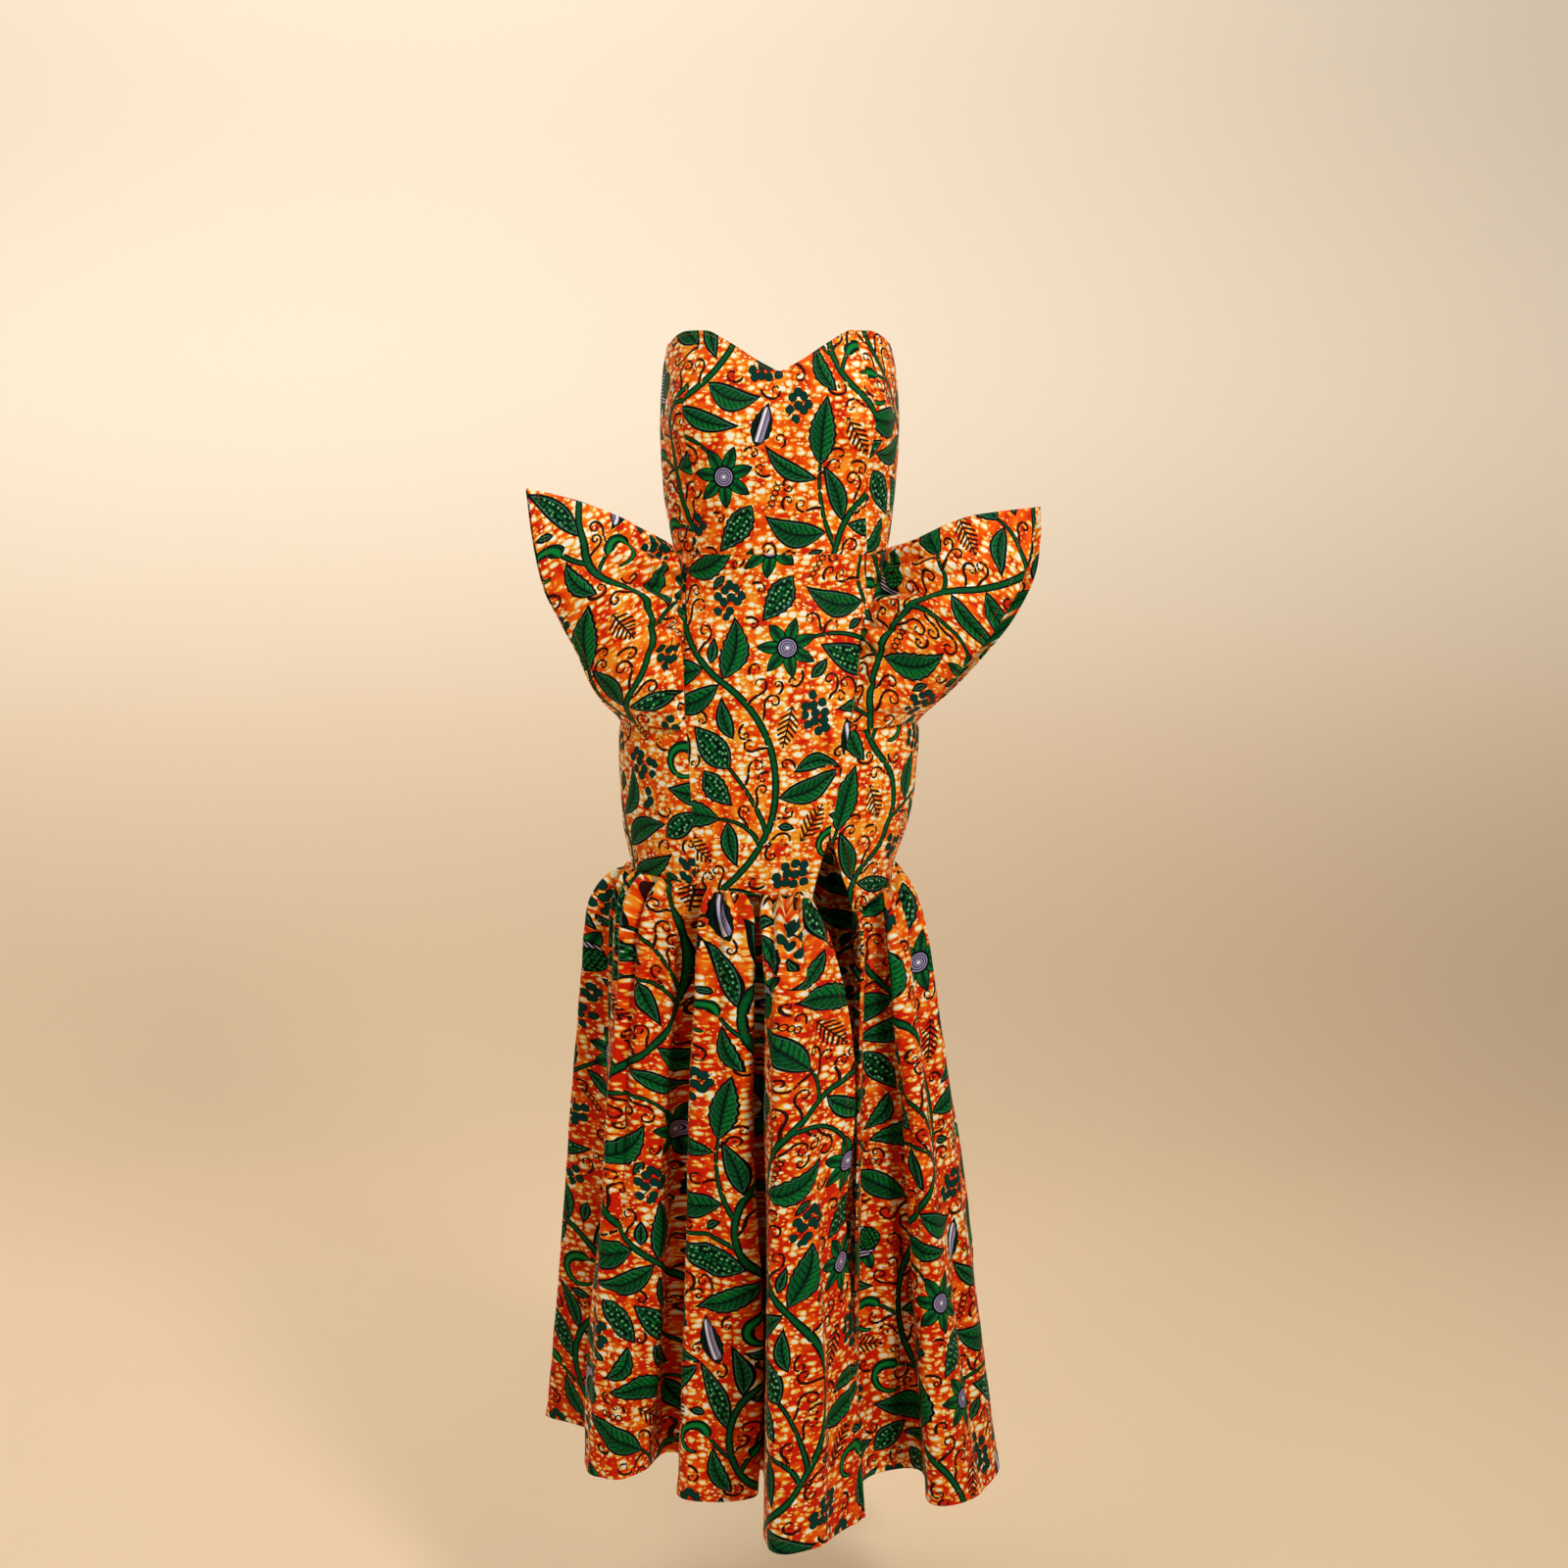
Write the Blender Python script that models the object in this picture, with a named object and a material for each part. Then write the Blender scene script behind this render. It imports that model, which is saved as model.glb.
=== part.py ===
"""Strapless printed-cotton dress in its worn form.

A princess-cut bodice runs from a sweetheart edge at the bust to the waist seam, and hip panels with the
same upright seams run on to a low seam under the hips.
A folded fan wing is sewn on at each hip, and a gathered flounce with a slit hangs from the low seam.
Every piece is an open cloth wall of its own. Metres, +Z up, the front faces -Y, +X is the wearer's left.
The origin is the middle of the body at bust height. Angles run from the front towards the wearer's left.
"""
import math

import bpy
import bmesh
from mathutils import Vector

WALL = 0.0015
SEAM_GAP = 0.0005
HEM_LEVEL = -1.231
WAIST_LEVEL = -0.143
SLIT_TOP_LEVEL = -0.461
WING_BASE_LEVEL = -0.345
WING_TOP_LEVEL = -0.135

CUP_HEIGHT = 0.030
CUP_ANGLE = 38.0
CUP_SPREAD = 21.0
CUP_LEVEL = 0.018
CUP_FALL = 0.058

GATHER_DEPTH = 0.005
GATHERS_PER_FOLD = 1.25
GATHER_START = 0.022
GATHER_FADE = 0.26
GATHER_DRIFT = 1.1

WING_PLEATS = 3
WING_PLEAT_DEPTH = 0.0035
WING_FOLD_RADIUS = 0.004
WING_BULGE = 0.010

# Columns: level, half width, front depth, back depth, middle across.
BODY_SECTIONS = (
    (0.120, 0.1235, 0.088, 0.078, 0.0050),
    (0.070, 0.1363, 0.093, 0.090, 0.0065),
    (0.000, 0.1403, 0.093, 0.097, 0.0065),
    (-0.068, 0.1367, 0.091, 0.092, 0.0060),
    (-0.114, 0.1307, 0.088, 0.086, 0.0075),
    (-0.167, 0.1223, 0.087, 0.082, 0.0080),
    (-0.230, 0.1402, 0.095, 0.098, 0.0025),
    (-0.300, 0.1660, 0.104, 0.119, -0.0040),
    (-0.359, 0.1794, 0.109, 0.128, -0.0065),
    (-0.415, 0.1768, 0.112, 0.127, -0.0080),
    (-0.466, 0.1709, 0.113, 0.121, -0.0110),
    (-0.520, 0.1577, 0.112, 0.114, -0.0145),
    (-0.570, 0.1560, 0.112, 0.112, -0.0145),
)

# Columns: angle, level of the top edge, for both sides.
TOP_EDGE = (
    (0.0, 0.0620),
    (10.0, 0.0745),
    (25.0, 0.0960),
    (40.0, 0.1100),
    (56.0, 0.1110),
    (75.0, 0.1030),
    (92.0, 0.0960),
    (125.0, 0.0760),
    (155.0, 0.0630),
    (180.0, 0.0600),
)

# Columns: angle, level of the low seam.
LOW_SEAM = (
    (-110.0, -0.517),
    (-90.0, -0.516),
    (-50.0, -0.520),
    (-10.0, -0.531),
    (22.0, -0.537),
    (42.0, -0.556),
    (58.0, -0.548),
    (74.0, -0.531),
    (90.0, -0.5215),
    (106.0, -0.5175),
    (135.0, -0.519),
    (180.0, -0.523),
    (225.0, -0.521),
    (250.0, -0.517),
    (270.0, -0.516),
    (290.0, -0.518),
)

# Columns: level, right princess seam across, left princess seam or slit's inner edge, slit's outer edge.
PRINCESS_SEAMS = (
    (0.120, -0.080, 0.092, 0.092),
    (0.000, -0.086, 0.098, 0.098),
    (-0.137, -0.096, 0.108, 0.108),
    (-0.180, -0.104, 0.108, 0.108),
    (-0.240, -0.104, 0.101, 0.101),
    (-0.300, -0.103, 0.094, 0.094),
    (-0.345, -0.101, 0.087, 0.087),
    (-0.400, -0.098, 0.077, 0.077),
    (-0.4605, -0.094, 0.0661, 0.0661),
    (-0.461, -0.094, 0.066, 0.066),
    (-0.488, -0.092, 0.0575, 0.0725),
    (-0.515, -0.091, 0.0500, 0.0800),
    (-0.540, -0.090, 0.0446, 0.0880),
    (-0.570, -0.090, 0.0446, 0.0920),
)

# The flounce's crests and troughs, round from the slit's outer edge by way of the back.
# Columns: angle on the seam, azimuth at the hem, reach at the hem, puff below the seam, sideways lean.
FLOUNCE_FOLDS = (
    (42.5, 21.5, 0.244, 0.5, 0.000),
    (49.0, 33.0, 0.188, 0.1, 0.000),
    (55.0, 48.0, 0.186, 0.0, 0.000),
    (61.0, 55.0, 0.214, 0.2, 0.000),
    (68.0, 43.0, 0.276, 0.3, 0.000),
    (76.0, 53.0, 0.303, 0.3, 0.000),
    (84.0, 68.0, 0.288, 0.3, 0.000),
    (92.0, 85.0, 0.258, 0.3, 0.000),
    (101.0, 98.0, 0.222, 0.3, 0.000),
    (111.0, 107.0, 0.279, 0.6, 0.000),
    (121.0, 119.0, 0.268, 0.6, 0.000),
    (132.0, 131.0, 0.196, 0.3, 0.000),
    (142.0, 140.0, 0.288, 0.7, 0.000),
    (152.0, 152.0, 0.262, 0.5, 0.000),
    (162.0, 163.0, 0.188, 0.3, 0.000),
    (171.0, 172.0, 0.286, 0.6, 0.000),
    (181.0, 184.0, 0.270, 0.5, 0.000),
    (191.0, 195.0, 0.198, 0.3, 0.000),
    (202.0, 205.0, 0.292, 0.6, 0.000),
    (213.0, 217.0, 0.264, 0.6, 0.000),
    (223.0, 227.0, 0.184, 0.3, 0.000),
    (234.0, 237.0, 0.283, 0.7, 0.000),
    (245.0, 247.0, 0.254, 0.7, 0.000),
    (256.0, 255.0, 0.206, 0.6, 0.000),
    (268.0, 263.0, 0.291, 1.0, 0.000),
    (281.0, 277.0, 0.222, 0.8, 0.000),
    (298.0, 299.0, 0.252, 0.9, 0.000),
    (313.0, 307.0, 0.232, 0.6, 0.000),
    (331.0, 303.0, 0.148, 0.0, 0.000),
    (339.0, 330.0, 0.214, 0.6, 0.000),
    (349.0, 350.0, 0.186, 0.6, 0.000),
    (357.0, 350.0, 0.124, 0.0, 0.000),
    (363.0, 358.0, 0.288, 0.4, 0.000),
    (372.0, 366.0, 0.312, 0.5, 0.004),
    (382.0, 384.0, 0.255, 0.3, 0.022),
)

# Columns: piece, first fold row, last fold row.
FLOUNCE_PIECES = (
    ("flounce_side_front", 0, 7),
    ("flounce_back_left", 7, 16),
    ("flounce_back_right", 16, 24),
    ("flounce_front", 24, 34),
)

# Columns: share of the drop, spread of a plain fold, spread of a puffed fold.
FLOUNCE_PROFILE = (
    (0.000, 0.000, 0.000),
    (0.008, 0.000, 0.030),
    (0.020, 0.030, 0.180),
    (0.045, 0.090, 0.330),
    (0.080, 0.150, 0.430),
    (0.150, 0.240, 0.485),
    (0.270, 0.370, 0.560),
    (0.400, 0.490, 0.645),
    (0.540, 0.610, 0.720),
    (0.750, 0.790, 0.840),
    (1.000, 1.000, 1.000),
)

# Columns: share up the open edge, distance across, distance forward, level, gap behind, back leaf's reveal.
WING_EDGES = {
    "wing_right": (
        (0.00, 0.183, 0.032, -0.336, 0.018, 0.000),
        (0.14, 0.211, 0.068, -0.298, 0.020, 0.001),
        (0.27, 0.222, 0.088, -0.264, 0.020, 0.002),
        (0.43, 0.242, 0.102, -0.219, 0.018, 0.003),
        (0.57, 0.259, 0.109, -0.182, 0.016, 0.003),
        (0.79, 0.272, 0.107, -0.125, 0.011, 0.002),
        (1.00, 0.280, 0.100, -0.069, 0.000, 0.000),
    ),
    "wing_left": (
        (0.00, 0.172, 0.032, -0.336, 0.018, 0.000),
        (0.14, 0.199, 0.068, -0.301, 0.021, 0.006),
        (0.30, 0.229, 0.092, -0.260, 0.022, 0.009),
        (0.48, 0.260, 0.104, -0.217, 0.020, 0.010),
        (0.70, 0.287, 0.109, -0.161, 0.016, 0.008),
        (0.85, 0.294, 0.106, -0.125, 0.011, 0.006),
        (1.00, 0.302, 0.100, -0.090, 0.000, 0.000),
    ),
}

# Columns: share out along the top fold, distance across, distance forward, level.
WING_TOPS = {
    "wing_right": (
        (0.00, 0.1160, 0.024, -0.135),
        (0.25, 0.1570, 0.060, -0.112),
        (0.48, 0.1950, 0.084, -0.093),
        (0.72, 0.2330, 0.096, -0.080),
        (1.00, 0.2800, 0.100, -0.069),
    ),
    "wing_left": (
        (0.00, 0.1330, 0.024, -0.137),
        (0.22, 0.1640, 0.054, -0.126),
        (0.42, 0.1940, 0.077, -0.111),
        (0.68, 0.2370, 0.093, -0.097),
        (1.00, 0.3020, 0.100, -0.090),
    ),
}

# Columns: side across, angle of the top of the root, angle of the back root, angle of its outer end,
# clearance from the body's wall to the sewn edge.
WING_ROOTS = {
    "wing_right": (-1.0, 72.0, 99.0, 86.0, 0.0017),
    "wing_left": (1.0, 74.0, 99.0, 86.0, 0.0011),
}

HIP_ROWS_BELOW_SLIT = 3
HIP_ROWS_ABOVE_SLIT = 15
BODICE_ROWS = 11
FLOUNCE_COLUMNS_PER_FOLD = 5
FLOUNCE_ROWS = (0.0, 0.008, 0.022, 0.048, 0.088, 0.15, 0.24, 0.36, 0.50, 0.66, 0.83, 1.0)
WING_COLUMNS = 11
WING_ROWS = 13

PRINT_ORANGE = (0.78, 0.16, 0.02, 1.0)
CLOTH_ROUGHNESS = 0.62


def remove_scene_objects():
    for item in list(bpy.data.objects):
        bpy.data.objects.remove(item, do_unlink=True)


def smooth_value(rows, column, key):
    """Read one column at a key, by a smooth curve that never overshoots its rows."""
    keys = [row[0] for row in rows]
    values = [row[column] for row in rows]
    if keys[0] > keys[-1]:
        keys.reverse()
        values.reverse()
    key = min(max(key, keys[0]), keys[-1])
    last = len(keys) - 1
    steps = [keys[i + 1] - keys[i] for i in range(last)]
    rises = [(values[i + 1] - values[i]) / steps[i] for i in range(last)]
    slopes = [rises[0]]
    for i in range(1, last):
        before, after = rises[i - 1], rises[i]
        mean = 2.0 * before * after / (before + after) if before * after > 0.0 else 0.0
        slopes.append(mean)
    slopes.append(rises[-1])
    i = 0
    while i < last - 1 and key > keys[i + 1]:
        i += 1
    t = (key - keys[i]) / steps[i]
    start = (1.0 + 2.0 * t) * (1.0 - t) ** 2 * values[i] + t * (1.0 - t) ** 2 * steps[i] * slopes[i]
    end = t * t * (3.0 - 2.0 * t) * values[i + 1] - t * t * (1.0 - t) * steps[i] * slopes[i + 1]
    return start + end


def mix(a, b, share):
    return a + (b - a) * share


def smooth_step(value):
    value = min(max(value, 0.0), 1.0)
    return value * value * (3.0 - 2.0 * value)


def front_angle(angle):
    """The same direction as an angle between -180 and 180."""
    return (angle + 180.0) % 360.0 - 180.0


def body_point(angle, level):
    half_width, front, back, middle = (smooth_value(BODY_SECTIONS, c, level) for c in range(1, 5))
    turn = math.radians(angle)
    depth = front if math.cos(turn) > 0.0 else back
    point = Vector((middle + half_width * math.sin(turn), -depth * math.cos(turn), level))
    from_apex = (abs(front_angle(angle)) - CUP_ANGLE) / CUP_SPREAD
    cup = CUP_HEIGHT * math.exp(-from_apex ** 2 - ((level - CUP_LEVEL) / CUP_FALL) ** 2)
    return point + cup * Vector((math.sin(turn), -math.cos(turn), 0.0))


def seam_angle(column, level):
    """The angle at which a princess seam or a slit edge crosses a level."""
    across = smooth_value(PRINCESS_SEAMS, column, level)
    half_width = smooth_value(BODY_SECTIONS, 1, level)
    middle = smooth_value(BODY_SECTIONS, 4, level)
    return math.degrees(math.asin((across - middle) / half_width))


def low_seam_level(angle):
    return smooth_value(LOW_SEAM, 1, (angle + 90.0) % 360.0 - 90.0)


def top_edge_level(angle):
    return smooth_value(TOP_EDGE, 1, abs(front_angle(angle)))


def spline_point(points, place):
    """A Catmull-Rom curve through points, one unit of place for each step."""
    last = len(points) - 1
    i = min(int(place), last - 1)
    t = place - i
    before = points[max(i - 1, 0)]
    start, end = points[i], points[i + 1]
    after = points[min(i + 2, last)]
    leave = (end - before) * 0.5
    arrive = (after - start) * 0.5
    bend = 2.0 * t ** 3 - 3.0 * t ** 2
    return (start * (1.0 + bend) - end * bend
            + leave * (t ** 3 - 2.0 * t ** 2 + t) + arrive * (t ** 3 - t ** 2))


def hem_point(azimuth, reach):
    turn = math.radians(azimuth)
    return Vector((reach * math.sin(turn), -reach * math.cos(turn), HEM_LEVEL))


HEM_POINTS = [hem_point(row[1], row[2]) for row in FLOUNCE_FOLDS]
FOLD_PLACES = [(place,) + row for place, row in enumerate(FLOUNCE_FOLDS)]


def flounce_point(place, drop):
    """A point of the flounce: place counts the fold rows, drop runs from the seam to the hem."""
    angle = smooth_value(FOLD_PLACES, 1, place)
    puff = smooth_value(FOLD_PLACES, 4, place)
    lean = smooth_value(FOLD_PLACES, 5, place)
    top = body_point(angle, low_seam_level(angle))
    hem = spline_point(HEM_POINTS, place)
    plain = smooth_value(FLOUNCE_PROFILE, 1, drop)
    puffed = smooth_value(FLOUNCE_PROFILE, 2, drop)
    spread = mix(plain, puffed, puff)
    turn = math.radians(angle)
    outward = Vector((math.sin(turn), -math.cos(turn), 0.0))
    phase = 2.0 * math.pi * GATHERS_PER_FOLD * place + GATHER_DRIFT * math.sin(1.7 * place)
    fade = smooth_step(drop / GATHER_START) * math.exp(-(drop / GATHER_FADE) ** 2)
    gather = GATHER_DEPTH * fade * math.cos(phase)
    swing = lean * math.sin(math.pi * min(drop / 0.5, 1.0))
    point = top.lerp(hem, spread) + outward * gather
    point.x += swing
    point.z = mix(top.z, HEM_LEVEL, drop)
    return point


def outward_normal(surface, p, q, p_step, q_step, facing):
    along = surface(p + p_step, q) - surface(p - p_step, q)
    up = surface(p, q + q_step) - surface(p, q - q_step)
    return facing * along.cross(up).normalized()


def body_root(angle, level, clearance):
    """A point just outside the body, where a wing's edge is sewn on."""
    normal = outward_normal(body_point, angle, level, 0.5, 0.002, 1.0)
    return body_point(angle, level) + normal * (WALL / 2.0 + clearance)


def coons(u, v, left, right, bottom, top):
    """A patch between four edge curves, u across and v up."""
    corners = (
        left(0.0) * (1.0 - u) * (1.0 - v) + right(0.0) * u * (1.0 - v)
        + left(1.0) * (1.0 - u) * v + right(1.0) * u * v
    )
    return left(v) * (1.0 - u) + right(v) * u + bottom(u) * (1.0 - v) + top(u) * v - corners


def wing_point(name, out, turn):
    """A point of a wing: out runs from root to open edge, turn from front base over the fold to back base."""
    side, top_angle, back_angle, back_end_angle, clearance = WING_ROOTS[name]
    front_leaf = turn <= 1.0
    rise = turn if front_leaf else 2.0 - turn
    column = 1 if side < 0.0 else 2

    def table_point(rows, share, behind=0.0, reveal=0.0):
        across = smooth_value(rows, 1, share) + reveal
        forward = smooth_value(rows, 2, share) - behind
        return Vector((side * across, -forward, smooth_value(rows, 3, share)))

    edge_rows = WING_EDGES[name]
    fold_top = table_point(WING_TOPS[name], 0.0)

    def root(share):
        level = mix(WING_BASE_LEVEL, WING_TOP_LEVEL, share)
        if front_leaf:
            seam = abs(seam_angle(column, level))
            angle = mix(seam, top_angle, smooth_step((share - 0.6) / 0.4))
        else:
            angle = mix(back_angle, top_angle, smooth_step(share))
        start = body_root(side * angle, level, clearance)
        return start + (fold_top - body_root(side * top_angle, WING_TOP_LEVEL, clearance)) * share ** 3

    def open_edge(share):
        if front_leaf:
            return table_point(edge_rows, share)
        behind = smooth_value(edge_rows, 4, share)
        return table_point(edge_rows, share, behind, smooth_value(edge_rows, 5, share))

    def base(share):
        if front_leaf:
            start, end = abs(seam_angle(column, WING_BASE_LEVEL)), 76.0
        else:
            start, end = back_angle, back_end_angle
        level = mix(WING_BASE_LEVEL, edge_rows[0][3], share)
        lift = open_edge(0.0) - body_root(side * end, edge_rows[0][3], clearance)
        return body_root(side * mix(start, end, share), level, clearance) + lift * share ** 2

    def fold(share):
        return table_point(WING_TOPS[name], share)

    point = coons(out, rise, root, open_edge, base, fold)
    leaf_side = -1.0 if front_leaf else 1.0
    from_fold = min((1.0 - rise) * 0.24 / WING_FOLD_RADIUS, 1.0)
    rounding = WING_FOLD_RADIUS * math.sqrt(1.0 - (1.0 - from_fold) ** 2)
    swell = WING_BULGE * math.sin(math.pi * out) * math.sin(math.pi * rise)
    pleat = WING_PLEAT_DEPTH * math.sin(math.pi * out ** 0.6) * math.sin(math.pi * rise)
    pleat *= math.sin(2.0 * math.pi * WING_PLEATS * rise ** 1.4)
    push = rounding * smooth_step(out / 0.12) + (swell + pleat if front_leaf else 0.35 * swell)
    return point + leaf_side * push * Vector((0.36 * side, 0.93, 0.0))


def cloth_material(name):
    material = bpy.data.materials.new(name)
    material.use_nodes = True
    shader = material.node_tree.nodes["Principled BSDF"]
    shader.inputs["Base Color"].default_value = PRINT_ORANGE
    shader.inputs["Roughness"].default_value = CLOTH_ROUGHNESS
    shader.inputs["Metallic"].default_value = 0.0
    material.diffuse_color = PRINT_ORANGE
    return material


def trim_edges(points, sides):
    """Draw the named edges of a grid of columns in by half a seam gap."""
    last = len(points) - 1
    rows = range(len(points[0]))

    def drawn(point, neighbour):
        return point + (neighbour - point).normalized() * SEAM_GAP / 2.0

    if "start" in sides:
        points[0] = [drawn(points[0][r], points[1][r]) for r in rows]
    if "end" in sides:
        points[last] = [drawn(points[last][r], points[last - 1][r]) for r in rows]
    for column in points:
        if "first_row" in sides:
            column[0] = drawn(column[0], column[1])
        if "last_row" in sides:
            column[-1] = drawn(column[-1], column[-2])


def cloth_wall(name, surface, grid, steps, facing, trimmed, collection):
    """Build one closed wall round a grid of surface places, half the wall to each side."""
    points = [[surface(*place) for place in column] for column in grid]
    normals = [[outward_normal(surface, *place, *steps, facing) for place in column] for column in grid]
    trim_edges(points, trimmed)
    build = bmesh.new()
    skins = []
    for side in (0.5, -0.5):
        skins.append([[build.verts.new(point + normal * WALL * side) for point, normal in zip(*pair)]
                      for pair in zip(points, normals)])
    outer, inner = skins
    columns, rows = len(points), len(points[0])
    for c in range(columns - 1):
        for r in range(rows - 1):
            for skin in skins:
                build.faces.new((skin[c][r], skin[c + 1][r], skin[c + 1][r + 1], skin[c][r + 1]))
        for r in (0, rows - 1):
            build.faces.new((outer[c][r], outer[c + 1][r], inner[c + 1][r], inner[c][r]))
    for r in range(rows - 1):
        for c in (0, columns - 1):
            build.faces.new((outer[c][r], outer[c][r + 1], inner[c][r + 1], inner[c][r]))
    bmesh.ops.triangulate(build, faces=list(build.faces))
    bmesh.ops.recalc_face_normals(build, faces=list(build.faces))
    if build.calc_volume(signed=True) < 0.0:
        bmesh.ops.reverse_faces(build, faces=list(build.faces))
    mesh = bpy.data.meshes.new(name)
    build.to_mesh(mesh)
    build.free()
    mesh.shade_smooth()
    mesh.set_sharp_from_angle(angle=math.radians(50.0))
    mesh.materials.append(cloth_material(name + "_print"))
    collection.objects.link(bpy.data.objects.new(name, mesh))


def hip_levels(angle_at):
    """The levels of one column of a hip panel, from the low seam to the waist."""
    bottom = low_seam_level(angle_at(LOW_SEAM[0][1]))
    bottom = low_seam_level(angle_at(bottom))
    levels = [mix(bottom, SLIT_TOP_LEVEL, r / HIP_ROWS_BELOW_SLIT) for r in range(HIP_ROWS_BELOW_SLIT)]
    levels += [mix(SLIT_TOP_LEVEL, WAIST_LEVEL, r / HIP_ROWS_ABOVE_SLIT)
               for r in range(HIP_ROWS_ABOVE_SLIT + 1)]
    return levels


def bodice_levels(angle_at):
    """The levels of one column of a bodice panel, from the waist to the top edge."""
    top = top_edge_level(angle_at(TOP_EDGE[3][1]))
    top = top_edge_level(angle_at(top))
    return [mix(WAIST_LEVEL, top, r / BODICE_ROWS) for r in range(BODICE_ROWS + 1)]


def add_body_panels(collection):
    def right_princess(level):
        return seam_angle(1, level)

    def slit_inner(level):
        return seam_angle(2, level)

    def slit_outer(level):
        return seam_angle(3, level)

    def fixed(angle):
        return lambda level: angle

    # Columns: place round the body, its two seams in turn to the wearer's left, columns of cloth.
    panels = (
        ("front", right_princess, slit_inner, 13),
        ("side_left", slit_outer, fixed(90.0), 8),
        ("back_left", fixed(90.0), fixed(180.0), 8),
        ("back_right", fixed(180.0), fixed(270.0), 8),
        ("side_right", fixed(-90.0), right_princess, 6),
    )
    # Columns: row of panels, levels of a column, edges that are joined.
    storeys = (
        ("bodice", bodice_levels, ("start", "end", "first_row")),
        ("hip", hip_levels, ("start", "end", "first_row", "last_row")),
    )
    for storey, levels_of, trimmed in storeys:
        for place, start_seam, end_seam, columns in panels:
            grid = []
            for c in range(columns + 1):
                def angle_at(level, share=c / columns):
                    return mix(start_seam(level), end_seam(level), share)

                grid.append([(angle_at(level), level) for level in levels_of(angle_at)])
            cloth_wall(storey + "_" + place, body_point, grid, (0.3, 0.0015), 1.0, trimmed, collection)


def add_flounce(collection):
    last_row = len(FLOUNCE_FOLDS) - 1
    for name, first, last in FLOUNCE_PIECES:
        columns = (last - first) * FLOUNCE_COLUMNS_PER_FOLD
        places = [mix(first, last, c / columns) for c in range(columns + 1)]
        grid = [[(place, drop) for drop in FLOUNCE_ROWS] for place in places]
        trimmed = ["first_row"]
        if first > 0:
            trimmed.append("start")
        if last < last_row:
            trimmed.append("end")
        cloth_wall(name, flounce_point, grid, (0.02, 0.0008), -1.0, trimmed, collection)


def add_wings(collection):
    for name, edges in WING_ROOTS.items():
        rises = [1.0 - (1.0 - r / WING_ROWS) ** 1.5 for r in range(WING_ROWS + 1)]
        turns = rises + [2.0 - rise for rise in reversed(rises[:-1])]
        grid = [[(c / WING_COLUMNS, turn) for turn in turns] for c in range(WING_COLUMNS + 1)]

        def surface(out, turn, wing=name):
            return wing_point(wing, min(max(out, 0.0), 1.0), min(max(turn, 0.0), 2.0))

        cloth_wall(name, surface, grid, (0.004, 0.004), edges[0], (), collection)


def main():
    remove_scene_objects()
    collection = bpy.data.collections.new("strapless_ankara_dress")
    bpy.context.scene.collection.children.link(collection)
    add_body_panels(collection)
    add_flounce(collection)
    add_wings(collection)


main()
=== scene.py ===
"""Cloth, print and stitches of a strapless printed-cotton dress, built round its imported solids.

Every solid of the frame is replaced by a thin sheet of cloth on the same form, with its creases, gathers and turned
edges. Metres, +Z up, the front faces -Y and +X is the wearer's left. Angles run from the front to the wearer's left.
"""
import math
import random

import bpy
import numpy as np
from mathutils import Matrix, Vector


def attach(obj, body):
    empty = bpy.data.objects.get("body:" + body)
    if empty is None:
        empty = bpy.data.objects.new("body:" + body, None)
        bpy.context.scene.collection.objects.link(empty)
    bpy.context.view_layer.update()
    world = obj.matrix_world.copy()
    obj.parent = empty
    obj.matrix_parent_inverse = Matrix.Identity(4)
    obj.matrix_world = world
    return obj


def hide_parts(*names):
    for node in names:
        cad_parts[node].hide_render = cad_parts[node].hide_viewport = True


bl_info = {
    "name": "Strapless Ankara Dress",
    "version": (1, 0, 0),
    "blender": (4, 5, 0),
    "location": "3D View > Sidebar > Dress",
    "description": "Builds the cloth, stitches and stage of a strapless dress in printed cotton",
    "category": "Add Mesh",
}

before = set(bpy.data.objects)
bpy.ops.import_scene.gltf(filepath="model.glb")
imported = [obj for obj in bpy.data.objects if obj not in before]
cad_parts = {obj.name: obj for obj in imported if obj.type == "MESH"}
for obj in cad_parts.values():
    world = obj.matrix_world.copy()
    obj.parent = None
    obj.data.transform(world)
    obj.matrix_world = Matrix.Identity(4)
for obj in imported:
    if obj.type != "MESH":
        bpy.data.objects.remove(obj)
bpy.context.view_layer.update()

BODY = "root"

# The form of the dress.
HEM_LEVEL = -1.231
WAIST_LEVEL = -0.143
HIP_LEVEL = -0.3
SLIT_TOP_LEVEL = -0.462
WING_BASE_LEVEL = -0.345
WING_TOP_LEVEL = -0.135
SOLID_WALL = 0.0015

CUP_HEIGHT = 0.030
CUP_ANGLE = 38.0
CUP_SPREAD = 21.0
CUP_LEVEL = 0.018
CUP_FALL = 0.058

WING_PLEATS = 3
WING_PLEAT_DEPTH = 0.0035
WING_FOLD_RADIUS = 0.004
WING_FOLD_START = 0.12
WING_LEAF_HEIGHT = 0.24
WING_BULGE = 0.010
WING_BACK_BULGE_SHARE = 0.35
WING_PUSH = (0.36, 0.93)
WING_BASE_END_ANGLE = 76.0

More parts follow.
